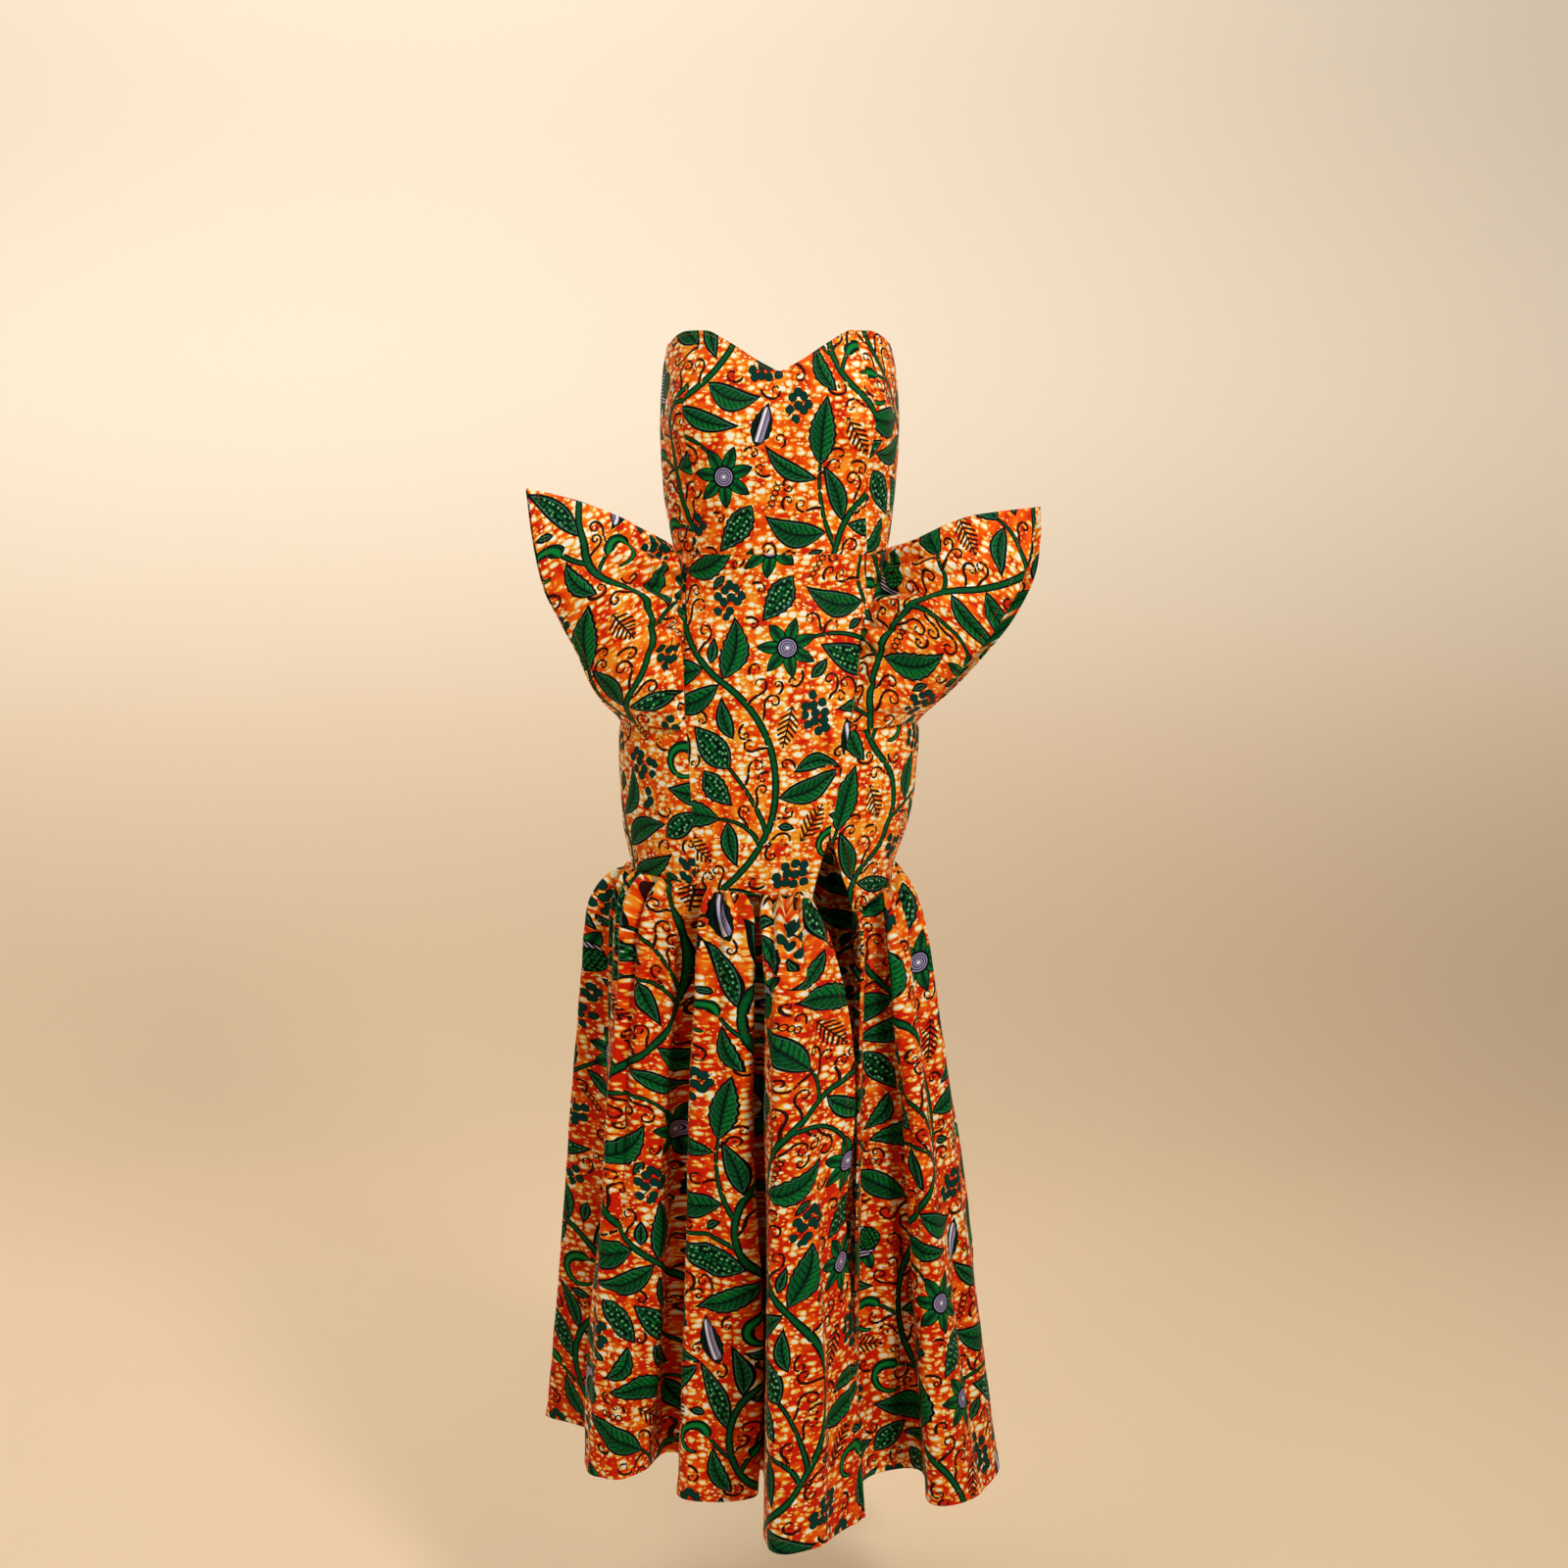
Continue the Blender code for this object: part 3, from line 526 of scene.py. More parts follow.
def run_along(points, axis):
    """Distance along a grid's lines, from their first point."""
    steps = lengths(np.diff(points, axis=axis))
    start = np.zeros_like(np.take(steps, [0], axis=axis))
    return np.concatenate((start, np.cumsum(steps, axis=axis)), axis=axis)


def dense_at_ends(length, step, near=(0.0012, 0.0028)):
    """Shares along a length in even steps, with closer ones beside both ends."""
    count = max(int(round(length / step)), 6)
    shares = set(np.round(np.linspace(0.0, 1.0, count + 1), 6))
    for distance in near:
        shares |= {round(distance / length, 6), round(1.0 - distance / length, 6)}
    return np.array(sorted(shares))


def hump(distance):
    """A bell curve that is 1 at no distance."""
    return np.exp(-distance ** 2)


WAVE_SEED = 11
WAVE_COUNT = 26
WAVE_PITCHES = (0.022, 0.085)
WAVE_MEAN_PITCH = 0.05


def unevenness(cloth, size):
    """Small random waves all over a cloth, on its flat coordinates."""
    draw = random.Random(WAVE_SEED)
    total = np.zeros(cloth.shape[:-1])
    for _ in range(WAVE_COUNT):
        turn = draw.uniform(0.0, math.pi)
        pitch = draw.uniform(*WAVE_PITCHES)
        start = draw.uniform(0.0, 2.0 * math.pi)
        wave = cloth[..., 0] * math.cos(turn) + cloth[..., 1] * math.sin(turn)
        total += pitch / WAVE_MEAN_PITCH * np.sin(2.0 * math.pi * wave / pitch + start)
    return total * size / math.sqrt(WAVE_COUNT)


# The print.

TILE = np.array((420.0, 500.0))
MILLIMETRES = 1000.0
LEAF, GLINT_LEAF, BUD, BLOSSOM, CUP_FLOWER, BERRIES, FERN, COIL = range(1, 9)
VINE, TENDRIL, HOOK = range(1, 4)
LENS_STATIONS = (-0.62, -0.3, 0.02, 0.34, 0.64)
ROW_STATIONS = (-0.7, -0.35, 0.0, 0.35, 0.7)
BLADE_WIDTH = 1.12
BLADE_TAPER = 0.34
FLOWER_ROOM = 0.94
ROW_ROOM = 0.8
ROOM_STEP = 5.0
CURL_ROOM = 1.4
CURL_TIP = 1.2
LEAST_TURN = 0.04
PART_LENGTH = 45.0
PART_TURN = 1.5
STROKE_OVERRUN = 2.4
MOTIF_REACH = 7.0
STROKE_REACH = 6.0
STEM_TRIES = 1500
LEAF_TRIES = 2600
TENDRIL_TRIES = 2600
LOOSE_CURL_TRIES = 2200
SCATTER_TRIES = 900
PRINT_SEED = 5


def wrapped(offset):
    """The same offset on the repeating print, the shortest way round."""
    return (offset + TILE / 2.0) % TILE - TILE / 2.0


def turned(x, y, angle):
    """The place after a turn by an angle."""
    return x * math.cos(angle) - y * math.sin(angle), x * math.sin(angle) + y * math.cos(angle)


class PrintLayout:
    """One repeat of the print, in millimetres: its motifs, the strokes that join them, and the room they take."""

    def __init__(self, seed):
        self.draw = random.Random(seed)
        self.motifs = []
        self.strokes = []
        self.taken = []
        self.stations = []

    def fits(self, circles, gap, base=None, base_reach=0.0):
        """True if no circle comes nearer than gap to what is drawn, apart from the vine at its base."""
        taken = np.array(self.taken)
        if base is not None:
            near = np.hypot(*wrapped(taken[:, :2] - base).T) < base_reach
            taken = taken[~(near & (taken[:, 3] > 0.5))]
        for x, y, radius in circles:
            if (np.hypot(*wrapped(taken[:, :2] - (x, y)).T) - taken[:, 2] - radius < gap).any():
                return False
        return True

    def take(self, circles, is_vine=0.0):
        self.taken += [(x % TILE[0], y % TILE[1], radius, is_vine) for x, y, radius in circles]

    def arc_points(self, x, y, heading, length, turn, count):
        """Places and headings along an arc. A positive turn goes to the left."""
        turn = turn if abs(turn) > LEAST_TURN else LEAST_TURN
        radius = length / turn
        for i in range(count + 1):
            now = heading + turn * i / count
            yield (x + radius * (math.sin(now) - math.sin(heading)),
                   y - radius * (math.cos(now) - math.cos(heading)), now)

    def stroke(self, start, arcs, widths, kind, room=True):
        """Draw arcs (length, turn) one after another from a place and heading, and return the last place."""
        x, y, heading = start
        total = sum(length for length, _ in arcs)
        drawn = 0.0
        circles = []
        for length, turn in arcs:
            turn = turn if abs(turn) > LEAST_TURN else LEAST_TURN
            parts = max(1, math.ceil(length / PART_LENGTH), math.ceil(abs(turn) / PART_TURN))
            for _ in range(parts):
                step, bend = length / parts, turn / parts
                radius = step / bend
                mid_x, mid_y, _ = list(self.arc_points(x, y, heading, step, bend, 2))[1]
                centre_x, centre_y = x - radius * math.sin(heading), y + radius * math.cos(heading)
                start_width = mix(widths[0], widths[1], drawn / total)
                drawn += step
                end_width = mix(widths[0], widths[1], drawn / total)
                self.strokes.append((mid_x, mid_y, mid_x - centre_x, mid_y - centre_y, radius, step,
                                     start_width, end_width, kind, self.draw.random()))
                places = list(self.arc_points(x, y, heading, step, bend, max(2, int(step / ROOM_STEP))))
                circles += [(px, py, start_width) for px, py, _ in places]
                if kind == VINE:
                    self.stations += [place + (start_width,) for place in places[1:]]
                x, y, heading = places[-1]
        if room:
            self.take(circles, 1.0)
        return x, y, heading

    def stroke_circles(self, start, arcs, radius):
        circles = []
        x, y, heading = start
        for length, turn in arcs:
            places = list(self.arc_points(x, y, heading, length, turn, max(2, int(length / ROOM_STEP))))
            circles += [(px, py, radius) for px, py, _ in places[1:]]
            x, y, heading = places[-1]
        return circles, (x, y, heading)

    def lens_circles(self, x, y, angle, half_length, half_width, bend):
        circles = []
        for t in LENS_STATIONS:
            dx, dy = turned(half_length * t, bend * (1.0 - t * t), angle)
            circles.append((x + dx, y + dy, half_width * (1.0 - t * t) * (BLADE_WIDTH - BLADE_TAPER * t)))
        return circles

    def place(self, kind, x, y, angle, half_length, half_width, bend, gap, base=None, base_reach=0.0):
        """Put a motif down if there is room for it."""
        if kind in (BLOSSOM, CUP_FLOWER):
            circles = [(x, y, FLOWER_ROOM * half_length)]
        elif kind == BERRIES and half_length < 1.2 * half_width:
            circles = [(x, y, half_length)]
        elif kind in (BERRIES, FERN):
            row = [turned(half_length * t, 0.0, angle) for t in ROW_STATIONS]
            circles = [(x + dx, y + dy, ROW_ROOM * half_width) for dx, dy in row]
        else:
            circles = self.lens_circles(x, y, angle, half_length, half_width, bend)
        if not self.fits(circles, gap, base, base_reach):
            return False
        self.take(circles)
        self.motifs.append((x, y, angle, half_length, half_width, bend, kind, self.draw.random()))
        return True

    def keep_trying(self, count, tries, attempt):
        """Make attempts, each told how many came before it, until count of them have come off."""
        placed = 0
        for number in range(tries):
            if placed == count:
                return
            placed += attempt(number)

    def scatter(self, kind, count, half_length, half_width, bend, gap):
        """Drop up to count motifs of a kind where there is room, in random sizes between the given pairs."""
        def attempt(_):
            share = self.draw.random()
            return self.place(
                kind, self.draw.uniform(0.0, TILE[0]), self.draw.uniform(0.0, TILE[1]),
                self.draw.uniform(0.0, 2.0 * math.pi), mix(*half_length, share), mix(*half_width, share),
                self.draw.uniform(-bend, bend), gap)

        self.keep_trying(count, SCATTER_TRIES, attempt)

    def main_stems(self):
        """Two winding stems up the print that meet their own start on the next repeat."""
        for x, y, swing, waves in ((95.0, 60.0, 0.98, 1), (300.0, 190.0, -0.86, 2)):
            chord = TILE[1] / (2 * waves)
            length = chord * abs(swing) / math.sin(abs(swing))
            arcs = [(length, -2.0 * swing if i % 2 == 0 else 2.0 * swing) for i in range(2 * waves)]
            self.stroke((x, y, math.pi / 2.0 + swing), arcs, (4.2, 4.2), VINE)

    def side_stems(self):
        """Stems that leave a main stem and curl to a bud, a flower or a hook."""
        ends = [BLOSSOM, BUD, HOOK, CUP_FLOWER, LEAF, BUD, GLINT_LEAF, CUP_FLOWER, HOOK, BLOSSOM, LEAF, BUD, LEAF]
        starts = list(self.stations)
        for _ in range(STEM_TRIES):
            if not ends:
                return
            x, y, heading, _ = self.draw.choice(starts)
            side = self.draw.choice((-1.0, 1.0))
            leave = side * self.draw.uniform(0.5, 0.95)
            curl = side * self.draw.uniform(0.2, 1.5) * self.draw.choice((-1.0, 1.0, 1.0))
            arcs = [(self.draw.uniform(40.0, 100.0), curl)]
            end = ends[0]
            if end == HOOK:
                arcs[0] = (self.draw.uniform(22.0, 44.0), -0.4 * curl)
                hook = [(self.draw.uniform(60.0, 76.0), side * self.draw.uniform(3.6, 4.4))]
            circles, tip = self.stroke_circles((x, y, heading + leave), arcs, 3.4)
            clear = circles[3:]
            if not self.fits(clear, 5.0, (x, y), 16.0):
                continue
            if end == HOOK:
                bow, _ = self.stroke_circles(tip, hook, 6.0)
                middle = np.mean([c[:2] for c in bow], axis=0)
                if not self.fits(bow + [(middle[0], middle[1], 12.0)], 2.5, (x, y), 16.0):
                    continue
                self.stroke((x, y, heading + leave), arcs, (2.8, 2.6), VINE)
                self.stroke(tip, hook, (7.2, 2.2), HOOK)
                self.take([(middle[0], middle[1], 9.0)])
                ends.pop(0)
                continue
            size = {BLOSSOM: (35.0, 35.0), CUP_FLOWER: (34.0, 34.0), BUD: (36.0, 14.0), LEAF: (40.0, 14.0),
                    GLINT_LEAF: (34.0, 15.0)}[end]
            reach = size[0] * (0.55 if end in (BLOSSOM, CUP_FLOWER) else 0.97)
            place_x = tip[0] + reach * math.cos(tip[2])
            place_y = tip[1] + reach * math.sin(tip[2])
            bend = self.draw.uniform(-5.0, 5.0) if end in (BUD, LEAF) else 0.0
            facing = tip[2] + (math.pi if end == CUP_FLOWER else 0.0)
            if self.place(end, place_x, place_y, facing, *size, bend, 2.5):
                self.stroke((x, y, heading + leave), arcs, (3.4, 2.2), VINE)
                ends.pop(0)

    def leaves(self, count):
        """Leaves along the stems, on either side."""
        def attempt(number):
            x, y, heading, width = self.draw.choice(self.stations)
            side = self.draw.choice((-1.0, 1.0))
            angle = heading + side * self.draw.uniform(0.5, 1.15) + self.draw.choice((0.0, 0.0, math.pi))
            shrink = mix(1.0, 0.55, number / LEAF_TRIES)
            half_length = shrink * self.draw.uniform(30.0, 45.0)
            half_width = half_length * self.draw.uniform(0.25, 0.43)
            bend = self.draw.choice((1.0, -1.0)) * self.draw.uniform(1.0, 17.0) * shrink
            away = heading + side * math.pi / 2.0
            base = (x + 0.8 * width * math.cos(away), y + 0.8 * width * math.sin(away))
            if math.cos(angle - away) < 0.2:
                return False
            centre = (base[0] + half_length * math.cos(angle), base[1] + half_length * math.sin(angle))
            kind = LEAF if self.draw.random() < 0.8 else GLINT_LEAF
            return self.place(kind, *centre, angle, half_length, half_width, bend, 2.2, (x, y), 22.0)

        self.keep_trying(count, LEAF_TRIES, attempt)

    def curl(self, start, arcs, width, gap, skipped=0, base=None, base_reach=0.0):
        """Draw a thin dark curl if there is room for all but its first circles."""
        circles, _ = self.stroke_circles(start, arcs, CURL_ROOM)
        if not self.fits(circles[skipped:], gap, base, base_reach):
            return False
        self.stroke(start, arcs, (width, CURL_TIP), TENDRIL)
        return True

    def tendrils(self, count):
        """Thin dark curls that leave the stems."""
        def attempt(_):
            x, y, heading, _ = self.draw.choice(self.stations)
            side = self.draw.choice((-1.0, 1.0))
            size = self.draw.uniform(0.75, 1.2)
            start = (x, y, heading + side * self.draw.uniform(0.7, 1.2))
            swing = self.draw.choice((-1.0, 1.0))
            arcs = [(20.0 * size, -0.7 * swing), (15.0 * size, 1.5 * swing), (13.0 * size, 2.1 * swing),
                    (9.0 * size, 2.5 * swing)]
            return self.curl(start, arcs, 1.9, 1.2, 2, (x, y), 9.0)

        self.keep_trying(count, TENDRIL_TRIES, attempt)

    def loose_curls(self, count):
        """Curls that stand free between the other motifs."""
        def attempt(_):
            size = self.draw.uniform(0.65, 1.2)
            swing = self.draw.choice((-1.0, 1.0))
            start = (self.draw.uniform(0.0, TILE[0]), self.draw.uniform(0.0, TILE[1]),
                     self.draw.uniform(0.0, 2.0 * math.pi))
            arcs = [(16.0 * size, 1.3 * swing), (13.0 * size, 2.2 * swing), (8.0 * size, 2.6 * swing)]
            return self.curl(start, arcs, 1.8, 1.0)

        self.keep_trying(count, LOOSE_CURL_TRIES, attempt)


def lay_out_print(seed):
    """Lay out one repeat of the print, from the stems to the smallest motifs."""
    layout = PrintLayout(seed)
    layout.main_stems()
    layout.side_stems()
    layout.leaves(22)
    layout.scatter(BERRIES, 8, (21.0, 32.0), (18.0, 19.0), 0.0, 1.5)
    layout.scatter(FERN, 5, (24.0, 30.0), (12.0, 14.0), 0.0, 1.2)
    layout.scatter(CUP_FLOWER, 1, (26.0, 28.0), (26.0, 28.0), 0.0, 1.5)
    layout.scatter(GLINT_LEAF, 4, (26.0, 33.0), (12.0, 14.0), 3.0, 1.5)
    layout.scatter(BUD, 3, (26.0, 34.0), (11.0, 13.0), 4.0, 1.5)
    layout.scatter(LEAF, 6, (24.0, 40.0), (8.0, 12.0), 12.0, 1.5)
    layout.tendrils(36)
    layout.scatter(BERRIES, 9, (13.0, 18.0), (13.0, 18.0), 0.0, 0.8)
    layout.scatter(COIL, 6, (13.0, 18.0), (5.0, 5.0), 0.0, 0.8)
    layout.loose_curls(46)
    layout.scatter(LEAF, 12, (10.0, 16.0), (4.5, 6.5), 3.0, 0.8)
    return layout


def nearest_rows(corners, rows, distance_to, reach):
    """For each face the nearest row within reach, each corner's offset from it, and its kind plus its shade."""
    middles = corners.mean(1)
    best = np.full(len(middles), reach)
    chosen = np.full(len(middles), -1)
    for number, row in enumerate(rows):
        distance = distance_to(wrapped(middles - row[:2]), row)
        nearer = distance < best
        best[nearer] = distance[nearer]
        chosen[nearer] = number
    table = np.array(rows)[np.maximum(chosen, 0)]
    offset = wrapped(middles - table[:, :2])[:, None, :] + corners - middles[:, None, :]
    code = np.where(chosen >= 0, table[:, -2] + 0.05 + 0.9 * table[:, -1], 0.0)
    return table, offset, np.repeat(code[:, None], corners.shape[1], axis=1)


def motif_coordinates(corners, layout):
    """For each face the nearest motif's own coordinates, at every corner, in millimetres."""
    def distance_to(offset, row):
        _, _, angle, half_length, half_width, bend, _, _ = row
        along = offset[:, 0] * math.cos(angle) + offset[:, 1] * math.sin(angle)
        across = offset[:, 1] * math.cos(angle) - offset[:, 0] * math.sin(angle)
        straight = max(half_length - half_width, 0.0)
        curve = bend * np.clip(1.0 - (along / half_length) ** 2, 0.0, 1.0)
        return np.hypot(along - np.clip(along, -straight, straight), across - curve) - half_width

    table, offset, code = nearest_rows(corners, layout.motifs, distance_to, MOTIF_REACH)
    cosine, sine = np.cos(table[:, 2])[:, None], np.sin(table[:, 2])[:, None]
    along = offset[..., 0] * cosine + offset[..., 1] * sine
    across = offset[..., 1] * cosine - offset[..., 0] * sine
    sizes = np.repeat(table[:, None, 3:6], corners.shape[1], axis=1)
    return np.stack((along, across, code), -1), sizes


def stroke_coordinates(corners, layout):
    """For each face the nearest stroke: place from its centre of curvature, radius, half width, kind and run."""
    def measure(offset, row):
        _, _, from_x, from_y, radius, length, start_width, end_width, _, _ = row
        x, y = offset[..., 0] + from_x, offset[..., 1] + from_y
        run = np.arctan2(from_x * y - from_y * x, from_x * x + from_y * y) * radius
        beyond = np.maximum(np.abs(run) - length / 2.0 - STROKE_OVERRUN, 0.0)
        width = mix(start_width, end_width, np.clip(run / length + 0.5, 0.0, 1.0))
        lateral = np.abs(np.hypot(x, y) - np.abs(radius))
        return x, y, run, beyond, width, lateral

    def distance_to(offset, row):
        _, _, _, beyond, width, lateral = measure(offset, row)
        return np.hypot(lateral, beyond) - width

    rows, offset, code = nearest_rows(corners, layout.strokes, distance_to, STROKE_REACH)
    x, y, run, beyond, width, _ = measure(offset, rows.T[:, :, None])
    radius = np.repeat(np.abs(rows[:, 4])[:, None], corners.shape[1], axis=1)
    return np.stack((x, y, radius), -1), np.stack((width - beyond, code, run), -1)


PRINT_LAYOUT = lay_out_print(PRINT_SEED)


# The finish.

class Wire:
    """One socket of a shader, on which Python's arithmetic adds Math nodes."""

    def __init__(self, shader, socket):
        self.shader = shader
        self.socket = socket

    def math(self, operation, *others):
        return self.shader.maths(operation, self, *others)

    def other(self, output):
        """Another output of the same node."""
        return Wire(self.shader, self.socket.node.outputs[output])

    def __add__(self, value):
        return self.math("ADD", value)

    __radd__ = __add__

    def __sub__(self, value):
        return self.math("SUBTRACT", value)

    def __rsub__(self, value):
        return self.shader.maths("SUBTRACT", value, self)

    def __mul__(self, value):
        return self.math("MULTIPLY", value)

    __rmul__ = __mul__

    def __truediv__(self, value):
        return self.math("DIVIDE", value)

    def __rtruediv__(self, value):
        return self.shader.maths("DIVIDE", value, self)

    def __pow__(self, value):
        return self.math("POWER", value)

    def __abs__(self):
        return self.math("ABSOLUTE")

    def __lt__(self, value):
        return self.math("LESS_THAN", value)

    def __gt__(self, value):
        return self.math("GREATER_THAN", value)

    def most(self, value):
        return self.math("MAXIMUM", value)

    def part(self):
        return self.math("FRACT")

    def from_middle(self):
        """0 in the middle of each whole step and 1 at its ends."""
        return abs(self.part() - 0.5) * 2.0

    def reach(self, value):
        """Length of the arrow with these two sides."""
        return (self * self + value * value).math("SQRT")

    def ramp(self, low, high):
        """A soft step from 0 at low to 1 at high."""
        return self.shader.node("ShaderNodeMapRange", {"interpolation_type": "SMOOTHSTEP"},
                                {"Value": self, "From Min": low, "From Max": high})


class Shader:
    """A material whose nodes are written as expressions."""

    def __init__(self, name, roughness):
        self.material = bpy.data.materials.new(name)
        self.material.use_nodes = True
        self.tree = self.material.node_tree
        self.surface = self.tree.nodes["Principled BSDF"]
        self.surface.inputs["Roughness"].default_value = roughness

    def node(self, kind, settings=None, sockets=None, output=0):
        """Add a node: its settings first, then the values or links of its sockets."""
        made = self.tree.nodes.new(kind)
        for key, value in (settings or {}).items():
            setattr(made, key, value)
        for key, value in (sockets or {}).items():
            if isinstance(value, Wire):
                self.tree.links.new(value.socket, made.inputs[key])
            else:
                made.inputs[key].default_value = value
        return Wire(self, made.outputs[output])

    def maths(self, operation, *values):
        return self.node("ShaderNodeMath", {"operation": operation}, dict(enumerate(values)))

    def blend(self, share, below, above):
        """One colour laid over another."""
        below, above = (colour if isinstance(colour, Wire) else tuple(colour) for colour in (below, above))
        return self.node("ShaderNodeMix", {"data_type": "RGBA"}, {0: share, 6: below, 7: above}, 2)

    def split(self, vector):
        x = self.node("ShaderNodeSeparateXYZ", None, {0: vector})
        return x, x.other(1), x.other(2)

    def attribute(self, name):
        return self.split(self.node("ShaderNodeAttribute", {"attribute_name": name}, None, "Vector"))

    def place(self, x, y):
        return self.node("ShaderNodeCombineXYZ", None, {0: x, 1: y})

    def noise(self, place, scale, detail=2.0):
        return self.node("ShaderNodeTexNoise", {"noise_dimensions": "2D"},
                         {"Vector": place, "Scale": scale, "Detail": detail}, "Fac")

    def cells(self, place, randomness):
        """Distance to the nearest of scattered points one unit apart, with the node's other outputs."""
        return self.node("ShaderNodeTexVoronoi", {"voronoi_dimensions": "2D"},
                         {"Vector": place, "Scale": 1.0, "Randomness": randomness}, "Distance")

    def colour_from(self, wire):
        self.tree.links.new(wire.socket, self.surface.inputs["Base Color"])

    def glow_from(self, wire, strength):
        self.tree.links.new(wire.socket, self.surface.inputs["Emission Color"])
        self.surface.inputs["Emission Strength"].default_value = strength

    def relief_from(self, height, strength, distance):
        bump = self.node("ShaderNodeBump", None,
                         {"Strength": strength, "Distance": distance, "Height": height})
        self.tree.links.new(bump.socket, self.surface.inputs["Normal"])


# Painted shade: between these levels the ground turns redder and darker, with fewer dabs and less halo, standing in
# for the shade over the flounce.
PAINTED_SHADE_LEVELS = (-0.50, -0.75)
GOLD_LEVELS = (-0.15, -0.35)
DAB_SPACING = (12.0, 8.0)
FLECK_SPACING = (7.2, 4.8)
WEAVE_PITCH = 0.9


def dabbed_ground(s, ink, across, up):
    """Orange dyed ground with rows of cream dabs in yellow halos, and painted shade lower down, where the ground turns
    redder and darker with fewer dabs and less halo.
    """
    place = s.place(across, up)
    drift = s.noise(place, 0.11, 1.0)
    thick = s.noise(place, 0.016, 2.0)
    tone = s.noise(place, 0.045, 3.0)
    height = s.split(s.node("ShaderNodeTexCoord", None, None, "Object"))[2]
    # Painted shade: lower down the ground deepens to the redder orange and loses halo and dabs. At the hips, above
    # that, the halos and dabs grow.
    red = height.ramp(*PAINTED_SHADE_LEVELS)
    gold = height.ramp(*GOLD_LEVELS) * (1.0 - red)
    ground = s.blend((tone + red * 0.14).ramp(0.42, 0.66), ink.ground, ink.deep_ground)
    ground = s.blend((tone + red * 0.10 - gold * 0.06).ramp(0.42, 0.26) * 0.55, ground, ink.halo)
    # Fewer dabs and flecks where the shade is painted lower down, more at the hips.
    thick = thick + gold * 0.05 - red * 0.13
    low = s.cells(s.place(across / DAB_SPACING[0] + drift * 0.8, up / DAB_SPACING[1]), 0.72)
    size = s.split(low.other("Color"))[0]
    dab = size * 0.38 + 0.05 + (thick - 0.5) * 0.4 - low
    fine = s.cells(s.place(across / FLECK_SPACING[0] + 7.0, up / FLECK_SPACING[1] + drift), 0.8)
    fine_size = s.split(fine.other("Color"))[1]
    fleck = fine_size * 0.46 - 0.10 + (thick - 0.5) * 0.36 - fine
    ground = s.blend(fleck.ramp(-0.06, 0.06) * 0.85, ground, ink.halo)
    ground = s.blend(fleck.ramp(0.07, 0.15), ground, ink.cream)
    ground = s.blend(dab.ramp(-0.17, -0.06), ground, ink.halo)
    return s.blend(dab.ramp(0.02, 0.10), ground, ink.cream)


def stems_over(s, ink, cloth):
    """Vines, hooks and tendrils over the ground."""
    x, y, radius = s.attribute("stroke")
    width, code, run = s.attribute("stroke_size")
    kind = code.math("FLOOR")
    lateral = x.reach(y) - radius
    off = abs(lateral)
    inside = width - off
    drawn = (inside > 0.0) * (kind > 0.5)
    tendril = (kind > TENDRIL - 0.5) * (kind < TENDRIL + 0.5)
    hook = kind > HOOK - 0.5
    share = off / width.most(0.1)
    stem = s.blend(share.ramp(0.7, 0.1) * (0.35 + 0.65 * hook), ink.leaf, ink.bright_leaf)
    nodes = (run / 9.0 + code * 3.0).from_middle() > 0.9
    stem = s.blend(nodes * (1.0 - hook) * 0.6, stem, ink.outline)
    line = (abs(share - 0.52) < 0.09) * hook
    stem = s.blend(line, stem, ink.outline)
    stem = s.blend(inside < 1.7, stem, ink.outline)
    stem = s.blend(tendril, stem, ink.tendril)
    return s.blend(drawn, cloth, stem)


